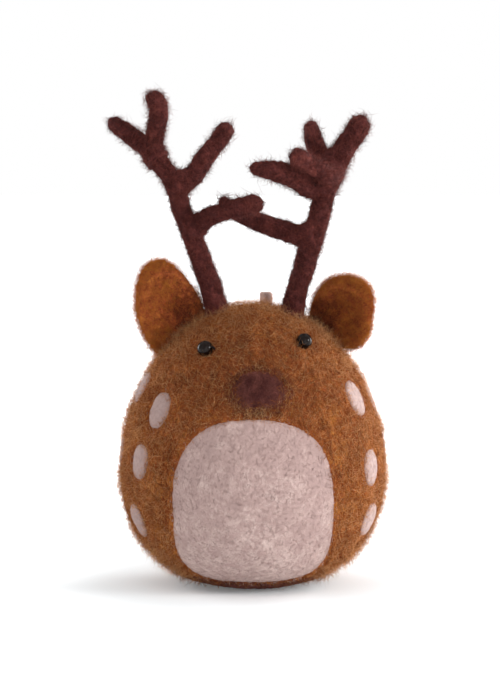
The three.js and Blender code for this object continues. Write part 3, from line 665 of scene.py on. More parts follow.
class Surface:
    """Wool over a form: place(a, b) gives points for two parameters, where a runs counter-clockwise and b
    along, and uneven(points) says how far the wool's face stands off them. shortest keeps a fibre's steps
    within bounds where all the ways round meet in one point."""

    def __init__(self, place, uneven, b_range, shortest=0.6):
        self.place, self.uneven, self.b_range, self.shortest = place, uneven, b_range, shortest

    def ways(self, a, b):
        """How far a point moves for each unit of a and of b, and the outward direction across both."""
        step = 1e-3
        by_a = (self.place(a + step, b) - self.place(a - step, b)) / (2 * step)
        by_b = (self.place(a, b + step) - self.place(a, b - step)) / (2 * step)
        return by_a, by_b, unit(np.cross(by_a, by_b))

    def face(self, a, b):
        """Points of the uneven face."""
        points = self.place(a, b)
        return points + self.ways(a, b)[2] * self.uneven(points)[..., None]

    def grid(self, rows, columns):
        """The uneven face as a grid of rings."""
        ways = np.linspace(*self.b_range, rows), np.linspace(0, TAU, columns, endpoint=False)
        b, a = np.meshgrid(*ways, indexing="ij")
        return self.face(a, b)

    def scattered(self, count, draw, weigh=None, b_range=None, cells=150):
        """Random places, as many on each bit of area as weigh(points) says."""
        low, high = b_range or self.b_range
        a_step, b_step = TAU / cells, (high - low) / cells
        middles = np.arange(cells) + 0.5
        b, a = np.meshgrid(low + b_step * middles, a_step * middles, indexing="ij")
        by_a, by_b, _ = self.ways(a, b)
        weight = np.linalg.norm(np.cross(by_a, by_b), axis=-1)
        if weigh is not None:
            weight = weight * weigh(self.place(a, b))
        weight = weight.ravel()
        cell = draw.choice(len(weight), count, p=weight / weight.sum())
        shift = draw.uniform(-0.5, 0.5, (2, count))
        return a.ravel()[cell] + shift[0] * a_step, b.ravel()[cell] + shift[1] * b_step

    def walked(self, a, b, way, length, bend, lift):
        """Lines over the face, one for each start: at each point a line turns by bend about the outward
        direction, and it lies at lift above the face. A step d is found from d = by_a * da + by_b * db."""
        stations = lift.shape[1]
        stride = (length / (stations - 1))[:, None]
        lines, outs = [], []
        for k in range(stations):
            base = self.place(a, b)
            by_a, by_b, out = self.ways(a, b)
            lines.append(base + out * (self.uneven(base) + lift[:, k])[:, None])
            outs.append(out)
            way = unit(way - out * (way * out).sum(-1, keepdims=True))
            way = way * np.cos(bend)[:, None] + np.cross(out, way) * np.sin(bend)[:, None]
            aa, bb, ab = ((x * y).sum(-1) for x, y in ((by_a, by_a), (by_b, by_b), (by_a, by_b)))
            to_a, to_b = ((way * x).sum(-1) * stride[:, 0] for x in (by_a, by_b))
            room = np.maximum(aa * bb - ab**2, self.shortest**2 * bb)
            a = a + (to_a * bb - to_b * ab) / room
            b = np.clip(b + (to_b * aa - to_a * ab) / room, *self.b_range)
        return np.stack(lines, 1), np.stack(outs, 1)


def pad_surface(place, half_wide, half_high, powers, dome, uneven):
    """A pad on the ball. b runs from the middle of its underside out to its edge and back over its face, and
    place(across, along, lift) puts it on the ball. The powers are those of its outline above and below."""
    shares = np.sin(np.linspace(0, math.pi / 2, 700))
    inside = (1 - shares) * min(half_wide, half_high)
    share = np.concatenate([shares, shares[::-1]])
    off = 1 - np.clip(inside[::-1] / dome.reach, 0, 1)
    face = dome.edge + dome.rise * np.maximum(1 - off**dome.power, 0) ** dome.root
    lift = np.concatenate([dome.edge - step_in(dome.under, inside), face])
    line = np.stack([share * (half_wide + half_high) / 2, lift, share], -1)
    along = lengths_along(line * (1, 1, 0))

    def put(a, b):
        s = np.interp(b, along, share)
        high = np.interp(b, along, lift)
        upper, lower = powers
        scale = s / squared(np.cos(a), np.sin(a), np.where(np.sin(a) < 0, lower, upper))
        return place(half_wide * scale * np.cos(a), half_high * scale * np.sin(a), high)

    pad = Surface(put, uneven, (0.03, along[-1] - 0.03))
    pad.edge = along[len(shares) - 1]
    return pad


def round_place(egg, point):
    """How a pad about one point of the ball is put there: flat in the tangent plane, then drawn on to the
    ball."""
    _, side, up = egg.frame_at(point)

    def put(across, along, lift):
        return egg.towards(point + side * across[..., None] + up * along[..., None], lift)

    return put


def turned_surface(egg, inset, uneven, margin, shortest=0.6):
    """The egg, inset, with an uneven face: its outline turned about the upright axis."""
    radius, height = egg.outline(inset)
    knots = lengths_along(np.stack([radius, 0 * radius, height], -1))

    def put(a, b):
        r, z = np.interp(b, knots, radius), np.interp(b, knots, height)
        return np.stack([r * np.sin(a), -r * np.cos(a), z], -1)

    return Surface(put, uneven, (margin, knots[-1] - margin), shortest)


def limb_surface(line, radius_at, seed, lump=0.085):
    """A round limb along a line, with a domed tip: centre + radius * (normal * cos(a) + across * sin(a))."""
    length = lengths_along(line)[-1]
    fine = evenly(line, 400)
    _, normal, across = carried_frame(fine)
    knots = np.linspace(0, length, len(fine))
    tip = float(radius_at(length))

    def put(a, b):
        inside = np.clip(b, 0, length - 1e-3)
        centre, n, c = (
            np.stack([np.interp(inside, knots, rows[:, k]) for k in range(3)], -1)
            for rows in (fine, normal, across)
        )
        past = np.maximum(inside - (length - tip), 0) / tip
        reach = (radius_at(inside) * np.sqrt(np.maximum(1 - past**2, 1e-4)))[..., None]
        return centre + reach * (n * np.cos(a)[..., None] + c * np.sin(a)[..., None])

    return Surface(put, lambda points: felt_face(points, lump, seed), (0.05, length - 0.01), 0.8)


def even_limb(line, radius, seed, lump=0.085):
    """A limb as thick all along."""
    return limb_surface(line, lambda along: radius + 0 * along, seed, lump)


def twisted_form(line, radius, pitch, strands, sides, groove, power=1.0):
    """Strands twisted together: a tube whose rings turn once in a pitch, and whose radius is
    R * (1 - groove + groove * |cos(strands / 2 * angle)| ** power)."""
    angle = np.linspace(0, TAU, sides, endpoint=False)
    turn = TAU * lengths_along(line) / pitch
    reach = radius * (1 - groove + groove * np.abs(np.cos(strands / 2 * angle)) ** power)
    return capped(ring_grid(line, np.tile(reach, (len(line), 1)), sides, turn))


def knot_line(centre, size, count, deep=1.0):
    """A closed knot: its line winds twice round the knot's middle while it goes three times in and out."""
    t = np.linspace(0, TAU, count + 1)
    wide = 2 + np.cos(3 * t)
    swirl = np.stack([wide * np.cos(2 * t), np.sin(3 * t) * deep, wide * np.sin(2 * t)], -1)
    return evenly(centre + swirl * size, count)


# Making pieces


def make_piece(name, form, material, nodes, shade=None):
    """A piece of the object from a form in millimetres. It rides on the one body and stands for its nodes."""
    points, quads, triangles = form
    mesh = bpy.data.meshes.new(name)
    corners = np.concatenate([quads.ravel(), triangles.ravel()]).astype(np.int32)
    starts = np.concatenate([np.arange(len(quads)) * 4, len(quads) * 4 + np.arange(len(triangles)) * 3])
    mesh.vertices.add(len(points))
    mesh.vertices.foreach_set("co", (points * MM).astype(np.float32).ravel())
    mesh.loops.add(len(corners))
    mesh.loops.foreach_set("vertex_index", corners)
    mesh.polygons.add(len(starts))
    mesh.polygons.foreach_set("loop_start", starts.astype(np.int32))
    mesh.polygons.foreach_set("use_smooth", np.full(len(starts), True))
    if shade is not None:
        mesh.attributes.new("shade", "FLOAT", "POINT").data.foreach_set("value", shade.astype(np.float32))
    mesh.update(calc_edges=True)
    mesh.materials.append(material)
    piece = bpy.data.objects.new(name, mesh)
    bpy.context.scene.collection.objects.link(piece)
    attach(piece, "root")
    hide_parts(*nodes)
    return piece


def even(form):
    """A shade that is the same all over."""
    return np.full(len(form[0]), 0.5)


def above_floor(form):
    """A form kept just clear of the floor."""
    form[0][:, 2] = np.maximum(form[0][:, 2], FLOOR_CLEARANCE)
    return form


def fibre_form(lines, outs, radii):
    """Thin closed three-sided tubes along lines, pointed at both ends: three corners round each station."""
    count, stations = lines.shape[:2]
    along = unit(np.gradient(lines, axis=1))
    side = unit(np.cross(outs, along))
    up = np.cross(along, side)
    inner = slice(1, stations - 1)
    angle = (TAU * np.arange(3) / 3 + TAU / 4)[None, None, :, None]
    spokes = side[:, inner, None] * np.cos(angle) + up[:, inner, None] * np.sin(angle)
    rings = lines[:, inner, None] + spokes * radii[:, inner, None, None]
    rows = stations - 2
    each = 3 * rows + 2
    points = np.concatenate([lines[:, :1], rings.reshape(count, -1, 3), lines[:, -1:]], 1).reshape(-1, 3)
    corner = np.arange(3)
    beside = (corner + 1) % 3
    last = 1 + 3 * (rows - 1)
    quads = between_rings(rows, 3) + 1
    fans = np.concatenate(
        [
            np.stack([1 + beside, 1 + corner, np.zeros(3, int)], -1),
            np.stack([last + corner, last + beside, np.full(3, each - 1)], -1),
        ]
    )
    starts = (np.arange(count) * each)[:, None, None]
    return points, (quads + starts).reshape(-1, 4), (fans + starts).reshape(-1, 3)


def fibres(surface, count, seed, coat, weigh=None, hide=None, b_range=None, tone=None):
    """A coat of fibres on a surface, as a form and a shade for each point. weigh(points) says how many grow
    there, hide(points) how deep they are tucked in, and tone(points) how much lighter they are."""
    draw = np.random.default_rng(seed)
    a, b = surface.scattered(count, draw, weigh, b_range)
    length = draw.uniform(*coat.length, count)
    by_a, by_b, out = surface.ways(a, b)
    heading = draw.uniform(0, TAU, (count, 1))
    way = unit(by_a) * np.cos(heading) + np.cross(out, unit(by_a)) * np.sin(heading)
    run = draw.choice([-1, 1], (count, 1)) * (unit(by_b) if coat.lengthwise else np.array([0, 0, 1.0]))
    combed = draw.random((count, 1)) < coat.combed
    way = np.where(combed, run + draw.normal(0, coat.loose, (count, 3)), way)
    bend = draw.normal(0, coat.bend, count)
    high = draw.uniform(*coat.lift, count)
    strays = draw.random(count) < coat.strays
    rise = draw.uniform(*coat.rise, count) * np.sqrt(draw.random(count))
    share = np.linspace(0, 1, coat.stations)
    arch = np.interp(share, FIBRE_SHARES, FIBRE_ARCH)
    lying = np.where(arch < 0, arch * 0.1, arch * high[:, None])
    free = -0.1 + (high + rise)[:, None] * share**1.4
    lift = np.where(strays[:, None], free, lying)
    lines, outs = surface.walked(a, b, way, length, bend, lift)
    if hide is not None:
        lines = lines - outs * hide(lines)[..., None]
    wobble = draw.normal(0, coat.wobble, lines.shape) * share[:, None]
    lines = lines + wobble * np.where(strays, 2.0, 0.4)[:, None, None]
    thick = draw.uniform(*coat.thick, count)
    form = fibre_form(lines, outs, thick[:, None] * np.interp(share, FIBRE_SHARES, FIBRE_TAPER))
    middle = lines[:, coat.stations // 2]
    shade = 0.5 + coat.contrast * draw.normal(size=count) + 0.07 * lumps(middle, 7, seed + 5)
    # Stray fibres are made a little lighter, painted light that makes the outline glow
    shade = shade + np.where(draw.random(count) < coat.flecks, -0.32, 0) + np.where(strays, 0.1, 0)
    shade = shade + coat.paler
    if tone is not None:
        shade = shade + tone(middle)
    return form, np.repeat(np.clip(shade, 0, 1), 3 * (coat.stations - 2) + 2)


def coated(name, surface, coat, finish, slot, node, count, seed, **places):
    """A piece of fibres on a surface, in one of the coats."""
    form, shade = fibres(surface, count, seed, COATS[coat], **places)
    make_piece(name, above_floor(form), finish.material, [node], shade)


# Materials


class Nodes:
    """A short way to add nodes to a tree."""

    def __init__(self, tree):
        self.tree = tree

    def node(self, kind, inputs=None, **settings):
        made = self.tree.nodes.new("ShaderNode" + kind)
        for key, value in settings.items():
            setattr(made, key, value)
        for socket, value in (inputs or {}).items():
            self.feed(made.inputs[socket], value)
        return made

    def feed(self, socket, value):
        if isinstance(value, bpy.types.NodeSocket):
            self.tree.links.new(value, socket)
        else:
            socket.default_value = value

    def math(self, operation, first, second=0.0, third=0.0):
        return self.node("Math", {0: first, 1: second, 2: third}, operation=operation).outputs[0]

    def spread(self, value, low, high, to_low, to_high):
        """A value from one range, brought to another."""
        inputs = {0: value, 1: low, 2: high, 3: to_low, 4: to_high}
        return self.node("MapRange", inputs).outputs[0]

    def seen(self):
        """1 on a ray from the camera, or one that gloss or a clear thing sends on, and 0 on the others."""
        rays = self.node("LightPath").outputs
        seen = self.math("MAXIMUM", rays["Is Camera Ray"], rays["Is Transmission Ray"])
        return self.math("MAXIMUM", seen, rays["Is Glossy Ray"])


class Finish(Nodes):
    """A material, and nodes that feed its shader."""

    def __init__(self, name):
        self.material = bpy.data.materials.new(name)
        self.material.use_nodes = True
        super().__init__(self.material.node_tree)
        self.surface = self.tree.nodes["Principled BSDF"]

    def set(self, **values):
        for key, value in values.items():
            self.feed(self.surface.inputs[key.replace("_", " ")], value)

    def place(self, stretch=(1, 1, 1)):
        """Where a point is on the object, in millimetres."""
        scale = [x / MM for x in stretch]
        coordinates = self.node("TexCoord").outputs["Object"]
        return self.node("Mapping", {"Vector": coordinates, "Scale": scale}).outputs["Vector"]

    def noise(self, place, size, detail=2.0, distortion=0.0, rough=0.5):
        """Noise whose features are about size millimetres."""
        inputs = {
            "Vector": place, "Scale": 1 / size, "Detail": detail, "Roughness": rough, "Distortion": distortion
        }
        return self.node("TexNoise", inputs).outputs["Fac"]

    def ramp(self, value, stops):
        """A colour for each value, blended between (position, colour) stops."""
        made = self.node("ValToRGB", {"Fac": value})
        elements = made.color_ramp.elements
        while len(elements) < len(stops):
            elements.new(0.5)
        for element, (position, colour) in zip(elements, stops):
            element.position, element.color = position, (*colour, 1)
        return made.outputs["Color"]

    def bump(self, height, distance):
        """Bump whose full height is distance millimetres."""
        inputs = {"Height": height, "Distance": distance * MM, "Strength": 1.0}
        self.set(Normal=self.node("Bump", inputs).outputs["Normal"])

    def fuzz(self, weight, roughness, colour, gloss):
        """The soft sheen of fine fibres, and how much the surface shines under it."""
        self.set(Sheen_Weight=weight, Sheen_Roughness=roughness, Sheen_Tint=(*colour, 1))
        self.set(Specular_IOR_Level=gloss)


def times(share, colour):
    """A colour made darker or lighter."""
    return tuple(min(1, share * c) for c in colour)


def wool_skin(name, dark, middle, light, clump=2.6, bump=0.35, sheen=0.6, soft=1):
    """Felted wool: streaks of fibre at three sizes over slow changes of colour, rough, with a soft sheen. The
    stored shade makes it darker or lighter in places. The higher soft is, the less its colours differ."""
    finish = Finish(name)
    place = finish.place()
    slow = finish.noise(place, 9, 2)
    clumps = finish.noise(place, clump, 3, 1.6)
    streaks = finish.noise(place, 0.75, 4, 3.2, 0.6)
    fine = finish.noise(place, 0.28, 3, 2.0, 0.6)
    own = finish.node("Attribute", attribute_name="shade").outputs["Fac"]
    mixed = finish.math("MULTIPLY_ADD", slow, 0.25, finish.math("MULTIPLY", clumps, 0.35))
    mixed = finish.math("MULTIPLY_ADD", streaks, 0.4, mixed)
    mixed = finish.math("MULTIPLY_ADD", own, 0.4, finish.math("SUBTRACT", mixed, 0.2))
    stops = [(0.3, times(0.55, dark)), (0.14, dark), (0, middle), (-0.14, light)]
    colour = finish.ramp(mixed, [(min(1, max(0, 0.5 - off * soft)), shade) for off, shade in stops])
    height = finish.math("MULTIPLY_ADD", fine, 0.35, finish.math("MULTIPLY", streaks, 0.65))
    finish.bump(height, bump)
    finish.set(Base_Color=colour, Roughness=finish.spread(streaks, 0.3, 0.7, 0.82, 1.0))
    finish.fuzz(sheen, 0.45, light, 0.2)
    return finish


def wool_fibre(name, dark, middle, light, sheen=0.3, through=0.35):
    """Loose fibres of the same wool, each with its own shade. Some of the light goes through them, so they
    glow at the outline."""
    finish = Finish(name)
    place = finish.place()
    own = finish.node("Attribute", attribute_name="shade").outputs["Fac"]
    along = finish.noise(place, 1.3, 2, 1.0)
    value = finish.math("MULTIPLY_ADD", along, 0.3, finish.math("SUBTRACT", own, 0.15))
    stops = [(0.0, times(0.5, dark)), (0.15, dark), (0.5, middle), (0.88, light)]
    colour = finish.ramp(value, stops)
    finish.set(Base_Color=colour, Roughness=finish.spread(along, 0.3, 0.7, 0.6, 0.85))
    finish.fuzz(sheen, 0.4, light, 0.2)
    glow = finish.node("BsdfTranslucent", {"Color": colour}).outputs["BSDF"]
    solid = finish.surface.outputs["BSDF"]
    both = finish.node("MixShader", {0: through, 1: solid, 2: glow}).outputs["Shader"]
    finish.feed(finish.tree.nodes["Material Output"].inputs["Surface"], both)
    return finish


def twisted(name, colour, pitch, radius, bump):
    """Cotton or thread, spun of strands: clouded, with fine hairs."""
    finish = Finish(name)
    place = finish.place()
    hairs = finish.noise(place, radius * 0.5, 3, 1.5)
    slow = finish.noise(place, pitch * 2, 2)
    light = times(1.2, colour)
    mixed = finish.math("MULTIPLY_ADD", hairs, 0.6, finish.math("MULTIPLY", slow, 0.4))
    finish.set(Base_Color=finish.ramp(mixed, [(0.35, times(0.55, colour)), (0.5, colour), (0.66, light)]))
    finish.set(Roughness=finish.spread(hairs, 0.3, 0.7, 0.75, 0.95))
    finish.fuzz(0.25, 0.4, light, 0.3)
    finish.bump(hairs, bump)
    return finish.material


def bead_glass():
    """Glossy black, with faint wear in its gloss."""
    finish = Finish("bead_gloss")
    place = finish.place()
    wear = finish.noise(place, 0.9, 3)
    finish.set(Base_Color=finish.ramp(wear, [(0.3, (0.005, 0.002, 0.001)), (0.7, (0.009, 0.004, 0.003))]))
    finish.set(Roughness=finish.spread(wear, 0.3, 0.7, 0.05, 0.1), IOR=1.45, Specular_IOR_Level=0.15)
    return finish.material


def drawn_steel():
    """Steel wire with marks drawn out along its length, slightly dulled."""
    finish = Finish("steel_wire_finish")
    marks = finish.noise(finish.place((6, 6, 1)), 2.4, 3)
    finish.set(Base_Color=finish.ramp(marks, [(0.3, (0.2, 0.2, 0.21)), (0.7, (0.36, 0.36, 0.37))]))
    finish.set(Roughness=finish.spread(marks, 0.3, 0.7, 0.3, 0.5), Metallic=1.0)
    finish.bump(marks, 0.02)
    return finish.material


# What each piece is


def sizes_of(context):
    """The three groups of sizes."""
    scene = context.scene
    return scene.felt_deer_ball, scene.felt_deer_trim, scene.felt_deer_antler


def inlays(egg, trim):
    """Where the patch, nose and spots lie: for each kind, functions from points to millimetres inside the
    edge."""
    middle = mm(trim.patch_top + trim.patch_foot) / 2 - egg.belt
    half_high = mm(trim.patch_top - trim.patch_foot) / 2

    def in_patch(points):
        across = points[..., 0] / mm(trim.patch_wide)
        along = (points[..., 2] - egg.belt - middle) / half_high
        power = np.where(along < 0, trim.foot_power, trim.patch_power)
        inside = (1 - squared(across, along, power)) * mm(trim.patch_wide)
        return np.where(points[..., 1] < 0, inside, FAR_OFF)

    def in_pad(centre, wide, high, power):
        _, side, up = egg.frame_at(centre)

        def inside(points):
            off = points - centre
            share = squared(off @ side / wide, off @ up / high, power)
            near = np.linalg.norm(off, axis=-1) < 2 * max(wide, high)
            return np.where(near, (1 - share) * min(wide, high), FAR_OFF)

        return inside

    spot = mm(trim.spot_wide), mm(trim.spot_high), SPOT_POWER
    places = [(side, k) for side in SIDES for k in range(len(SPOTS[side]))]
    return {
        "patch": [in_patch],
        "nose": [in_pad(nose_centre(egg), mm(trim.nose_wide), mm(trim.nose_high), NOSE_POCKET_POWER)],
        "spot": [in_pad(spot_centre(egg, side, k), *spot) for side, k in places],
    }


def nose_centre(egg):
    """The middle of the nose."""
    return egg.front(egg.radius * NOSE[0], egg.crown * NOSE[1])


def spot_centre(egg, side, k):
    """The middle of one spot."""
    turn, height = SPOTS[side][k]
    z = height * (egg.belt + egg.crown)
    reach = float(egg.radius_at(z - egg.belt))
    angle = SIDES[side] * math.pi * turn
    return np.array([reach * math.sin(angle), -reach * math.cos(angle), z])


def eye_places(egg, trim):
    """For each eye: its seat on the skin, the outward direction, the way of its bore, and the bead's
    middle."""
    found = {}
    for side, (across, rise) in EYES.items():
        seat = egg.front(egg.radius * across, egg.crown * rise)
        out, sideways, up = egg.frame_at(seat)
        bore = sideways * math.cos(EYE_TILT) + up * math.sin(EYE_TILT)
        found[side] = (seat, out, bore, seat + out * mm(trim.bead - trim.bead_seat))
    return found


def ball_surface(ball, trim):
    """The ball, what is let into it, and its skin: the egg with felt lumps, and with pockets for what lies
    in it."""
    egg = Egg(ball)
    found = inlays(egg, trim)
    eyes = eye_places(egg, trim)
    room = mm(trim.bead) + BEAD_ROOM

    def uneven(points):
        off = felt_face(points, mm(ball.lump), 11)
        for kind, insides in found.items():
            for inside in insides:
                off = off - step_in(STEPS[kind]["pocket"], inside(points))
        for _, out, _, centre in eyes.values():
            away = points - centre
            high = away @ out
            flat = np.linalg.norm(away - high[..., None] * out, axis=-1)
            hollow = -high - np.sqrt(np.maximum(room**2 - flat**2, 0))
            off = np.where(flat < room, np.minimum(off, hollow), off)
        return off

    return egg, found, turned_surface(egg, 0, uneven, 0.05, 2.0)


def colours_of(context, wool):
    """The dark, middle and light colours of one wool."""
    return tuple(tuple(getattr(context.scene.felt_deer_colours, wool + "_" + shade)) for shade in SHADES)


def colours_about(colour, dark, light):
    """The dark, middle and light colours of a wool, from its middle one and two shares of it."""
    return times(dark, colour), colour, times(light, colour)


class FELTDEER_OT_stage(bpy.types.Operator):
    """Make the camera, the lamps, the floor and the white surroundings"""

    bl_idname = "felt_deer.stage"
    bl_label = "Stage"

    def execute(self, context):
        scene = context.scene
        scene.view_settings.view_transform = "Standard"
        data = bpy.data.cameras.new("camera")
        data.lens, data.sensor_width = CAMERA_LENS, CAMERA_SENSOR
        data.clip_start, data.clip_end = 0.01, 20
        back = Vector((0, -math.cos(CAMERA_RISE), math.sin(CAMERA_RISE)))
        scene.camera = self.aimed(scene, data, (Vector(CAMERA_TARGET) + back * CAMERA_DISTANCE) * MM, -back)
        for name, (place, size, watts) in LAMPS.items():
            data = bpy.data.lights.new(name, "AREA")
            data.shape, data.size, data.energy = "DISK", size, watts
            self.aimed(scene, data, place, Vector(LAMP_TARGET) - Vector(place))
        self.surroundings(scene)
        self.floor(context)
        return {"FINISHED"}

    def aimed(self, scene, data, place, way):
        """A camera or a lamp at a place, pointed along a way."""
        made = bpy.data.objects.new(data.name, data)
        made.location = place
        made.rotation_euler = way.to_track_quat("-Z", "Y").to_euler()
        scene.collection.objects.link(made)
        return made

    def surroundings(self, scene):
        """A white world to look at, and a softer one to be lit by."""
        world = bpy.data.worlds.new("surroundings")
        world.use_nodes = True
        nodes = Nodes(world.node_tree)
        background = nodes.tree.nodes["Background"].inputs
        nodes.feed(background["Strength"], nodes.spread(nodes.seen(), 0, 1, WORLD_LIGHT, 1.0))
        nodes.feed(background["Color"], (1, 1, 1, 1))
        scene.world = world

    def floor(self, context):
        """A wide white floor, which looks white to the camera and keeps the ornament's shadow."""
        finish = Finish("floor_white")
        white = tuple(context.scene.felt_deer_colours.floor)
        finish.set(Base_Color=(*white, 1), Roughness=0.9)
        finish.set(Specular_IOR_Level=0.0, Emission_Color=(1, 1, 1, 1))
        away = finish.node("VectorMath", {0: finish.place()}, operation="LENGTH").outputs["Value"]
        glow = finish.spread(away, GLOW_FROM, GLOW_TO, GLOW_LEAST, 1.0)
        finish.set(Emission_Strength=finish.math("MULTIPLY", finish.seen(), glow))
        mesh = bpy.data.meshes.new("floor")
        ways = ((-1, -1), (1, -1), (1, 1), (-1, 1))
        mesh.from_pydata([(x * FLOOR_REACH, y * FLOOR_REACH, 0) for x, y in ways], [], [(0, 1, 2, 3)])
        mesh.materials.append(finish.material)
        floor = bpy.data.objects.new("floor", mesh)
        context.scene.collection.objects.link(floor)


class FELTDEER_OT_loop(bpy.types.Operator):
    """Make the hanging loop of twisted cotton cord and the knot inside that holds it"""

    bl_idname = "felt_deer.loop"
    bl_label = "Hanging loop"

    def execute(self, context):
        ball, trim, _ = sizes_of(context)
        radius = mm(trim.cord) / 2
        colour = tuple(context.scene.felt_deer_colours.cord)
        cotton = twisted("cotton_twist", colour, CORD_PITCH, radius, 0.08)
        route = curve_through(LOOP_ROUTE)
        length = lengths_along(route)[-1]
        line = evenly(route, int(length / CORD_STEP))
        piece = make_piece("hang_loop_cord", self.twist(line, radius), cotton, ["hang_loop"])
        self.fuzz(colour, line, radius)
        self.anchor(Egg(ball), radius, cotton)
        return {"FINISHED"}

    def fuzz(self, colour, line, radius):
        """Fine cotton fibres along the cord, most of them at its foot, where the two legs rub together."""
        strand = wool_fibre("cotton_fibre", *colours_about(colour, 0.7, 1.2))
        legs = even_limb(line, radius, 41, 0)

        def weigh(points):
            return 0.06 + ease(69.5, 70.5, points[..., 2]) * ease(12, 8, points[..., 1])

        loose = fibres(legs, 1500, 43, COATS["cord_legs"], weigh)
        middle = curve_through((np.array(LOOP_ROUTE[:5]) + np.array(LOOP_ROUTE[:-6:-1])) / 2 - (0, 0.15, 0))
        between = even_limb(middle, 0.5, 45, 0)
        matted = fibres(between, 1100, 47, COATS["cord_matted"])
        form, shade = joined([loose[0], matted[0]]), np.concatenate([loose[1], matted[1]])
        return make_piece("hang_loop_fuzz", form, strand.material, ["hang_loop"], shade)

    def twist(self, line, radius):
        """The cord's three strands."""
        return twisted_form(line, radius, CORD_PITCH, strands=3, sides=24, groove=0.16, power=0.8)

    def anchor(self, egg, radius, cotton):
        """The cord's two buried ends, and the knot that ties them."""
        ends = np.array([LOOP_ROUTE[0], LOOP_ROUTE[-1]])
        middle = ends.mean(0)
        knot = egg.crown_at(middle[0], middle[1]) - (0, 0, KNOT_DEPTH)
        forms = []
        for end in ends:
            start = end - (0, 0.15, 0.28)
            leg = curve_through([start, start - (0, 0.6, 1.6), (end[0], knot[1], knot[2])])
            forms.append(self.twist(evenly(leg, 50), radius))
        forms.append(self.twist(knot_line(knot, 0.42, 120, 1.1), radius * 0.8))
        make_piece("loop_knot", joined(forms), cotton, ["loop_anchor"])


class FELTDEER_OT_ball(bpy.types.Operator):
    """Make the ball's felted skin with its fibres, and the core inside"""

    bl_idname = "felt_deer.ball"
    bl_label = "Ball"

    def execute(self, context):
        ball, trim, _ = sizes_of(context)
        egg, found, surface = ball_surface(ball, trim)
        tan = colours_of(context, "tan")
        skin = wool_skin("tan_felt", *tan)
        strands = wool_fibre("tan_fibre", *tan, sheen=0.5, through=0.2)
        haze = wool_fibre("tan_haze", *colours_of(context, "haze"), sheen=1.0, through=0.6)
        inner = self.inset(egg, mm(ball.skin), 17)
        outer = above_floor(capped(surface.grid(170, 340)))
        walls = joined([outer, turned_in(capped(inner.grid(50, 90)))])
        shade = 0.5 + self.tone(walls[0])
        piece = make_piece("felt_body", walls, skin.material, ["felt_skin"], shade)
        core = capped(self.inset(egg, mm(ball.skin + ball.gap), 23).grid(60, 100))
        colours = colours_about(tuple(context.scene.felt_deer_colours.core), 0.72, 1.15)
        loose = wool_skin("core_felt", *colours, clump=4, bump=0.5)
        make_piece("core_wool_ball", core, loose.material, ["core_ball"], even(core))
        layers = (("wool", 0.7, strands), ("nap", 1, strands), ("fuzz", 1.9, haze), ("down", 1, haze))
        for k, (name, share, finish) in enumerate(layers):
            coated("felt_body_" + name, surface, "body_" + name, finish, "tan_wool", "felt_skin",
                   count=int(ball.fibres * share), seed=100 + k, weigh=self.bare(found),
                   hide=self.tucked(found), tone=self.tone)
        self.foot(context, surface)
        self.chin(context, surface)
        self.fringe(context, surface, found)
        return {"FINISHED"}

    def inset(self, egg, inset, seed):
        """The egg, inset, with its own lumps."""
        return turned_surface(egg, inset, lambda points: felt_face(points, 0.05, seed), 0.1)

    def bare(self, found):
        """Where the skin's fibres grow: not on what is let into it, nor under the foot."""

        def weigh(points):
            free = points[..., 2] > 0
            for kind, insides in found.items():
                for inside in insides:
                    free &= inside(points) < FIBRES_STOP[kind]
            return free * ease(1.8, 3.4, points[..., 2])

        return weigh

    def tucked(self, found):
        """How deep fibres are drawn in under what is let into the skin."""

        def hide(points):
            depth = 0
            for kind, insides in found.items():
                for inside in insides:
                    depth = depth + step_in(STEPS[kind]["tuck"], inside(points))
            return depth

        return hide

    def fringe(self, context, surface, found):
        """Short tan and pale fibres that mingle across the edges of the patch and the spots, each lifted
        clear of what it crosses."""
        edges = [(kind, inside) for kind in ("patch", "spot") for inside in found[kind]]

        def weigh(points):
            near = [bell(inside(points) - 0.1, 0.4) for _, inside in edges]
            return near[0] + 1.6 * sum(near[1:])

        def raised(points):
            steps = [(STEPS[kind][step], inside) for kind, inside in edges for step in RAISING]
            return -sum(step_in(step, inside(points)) for step, inside in steps)

        for k, (wool, count) in enumerate((("tan", 7500), ("pale", 2600))):
            strands = wool_fibre(wool + "_fringe_fibre", *colours_of(context, wool), through=0.1)
            coated("felt_fringe_" + wool, surface, wool + "_fringe", strands, wool + "_wool", "felt_skin",
                   count=count, seed=122 + k, weigh=weigh, hide=raised)

    def foot(self, context, surface):
        """Dark red wool that is worked into the underside, round the foot."""
        strands = wool_fibre("foot_fibre", *colours_of(context, "nose"), through=0.1)

        def weigh(points):
            return ease(*FOOT_WOOL, points[..., 2]) * (points[..., 2] > 0.3)

        coated("felt_foot_wool", surface, "foot", strands, "tan_wool", "felt_skin",
               count=4500, seed=120, weigh=weigh)

    def chin(self, context, surface):
        """Pale strands between the nose and the patch."""
        strands = wool_fibre("chin_fibre", *colours_of(context, "haze"), through=0.1)

        def weigh(points):
            (middle, reach), rising, falling = CHIN
            near = bell(points[..., 0] - middle, reach) * ease(*rising, points[..., 2])
            return near * ease(*falling, points[..., 2]) * (points[..., 1] < 0)

        coated("felt_chin_strands", surface, "chin", strands, "tan_wool", "felt_skin",
               count=130, seed=121, weigh=weigh)

    def tone(self, points):
        """How much lighter the colour is: darker towards the foot, partly dark wool and partly painted shade
        under the ball, a little darker over the face, and darker below the nose, a painted shadow of the
        nose.
        """
        across, front, up = points[..., 0], points[..., 1] < 0, points[..., 2]
        # Painted shade under the ball, partly standing for the dark wool there
        tone = -FOOT_DARKENING_AND_PAINTED_SHADE_AMOUNT * ease(*FOOT_DARKENING_AND_PAINTED_SHADE_HEIGHTS, up)
        # A little darker over the face, and a painted shadow below the nose
        for x, z, half_wide, half_high, dark in FACE_DARKENING_AND_PAINTED_NOSE_SHADOW:
            tone = tone - dark * (bell(across - x, half_wide) * bell(up - z, half_high) * front)
        return tone


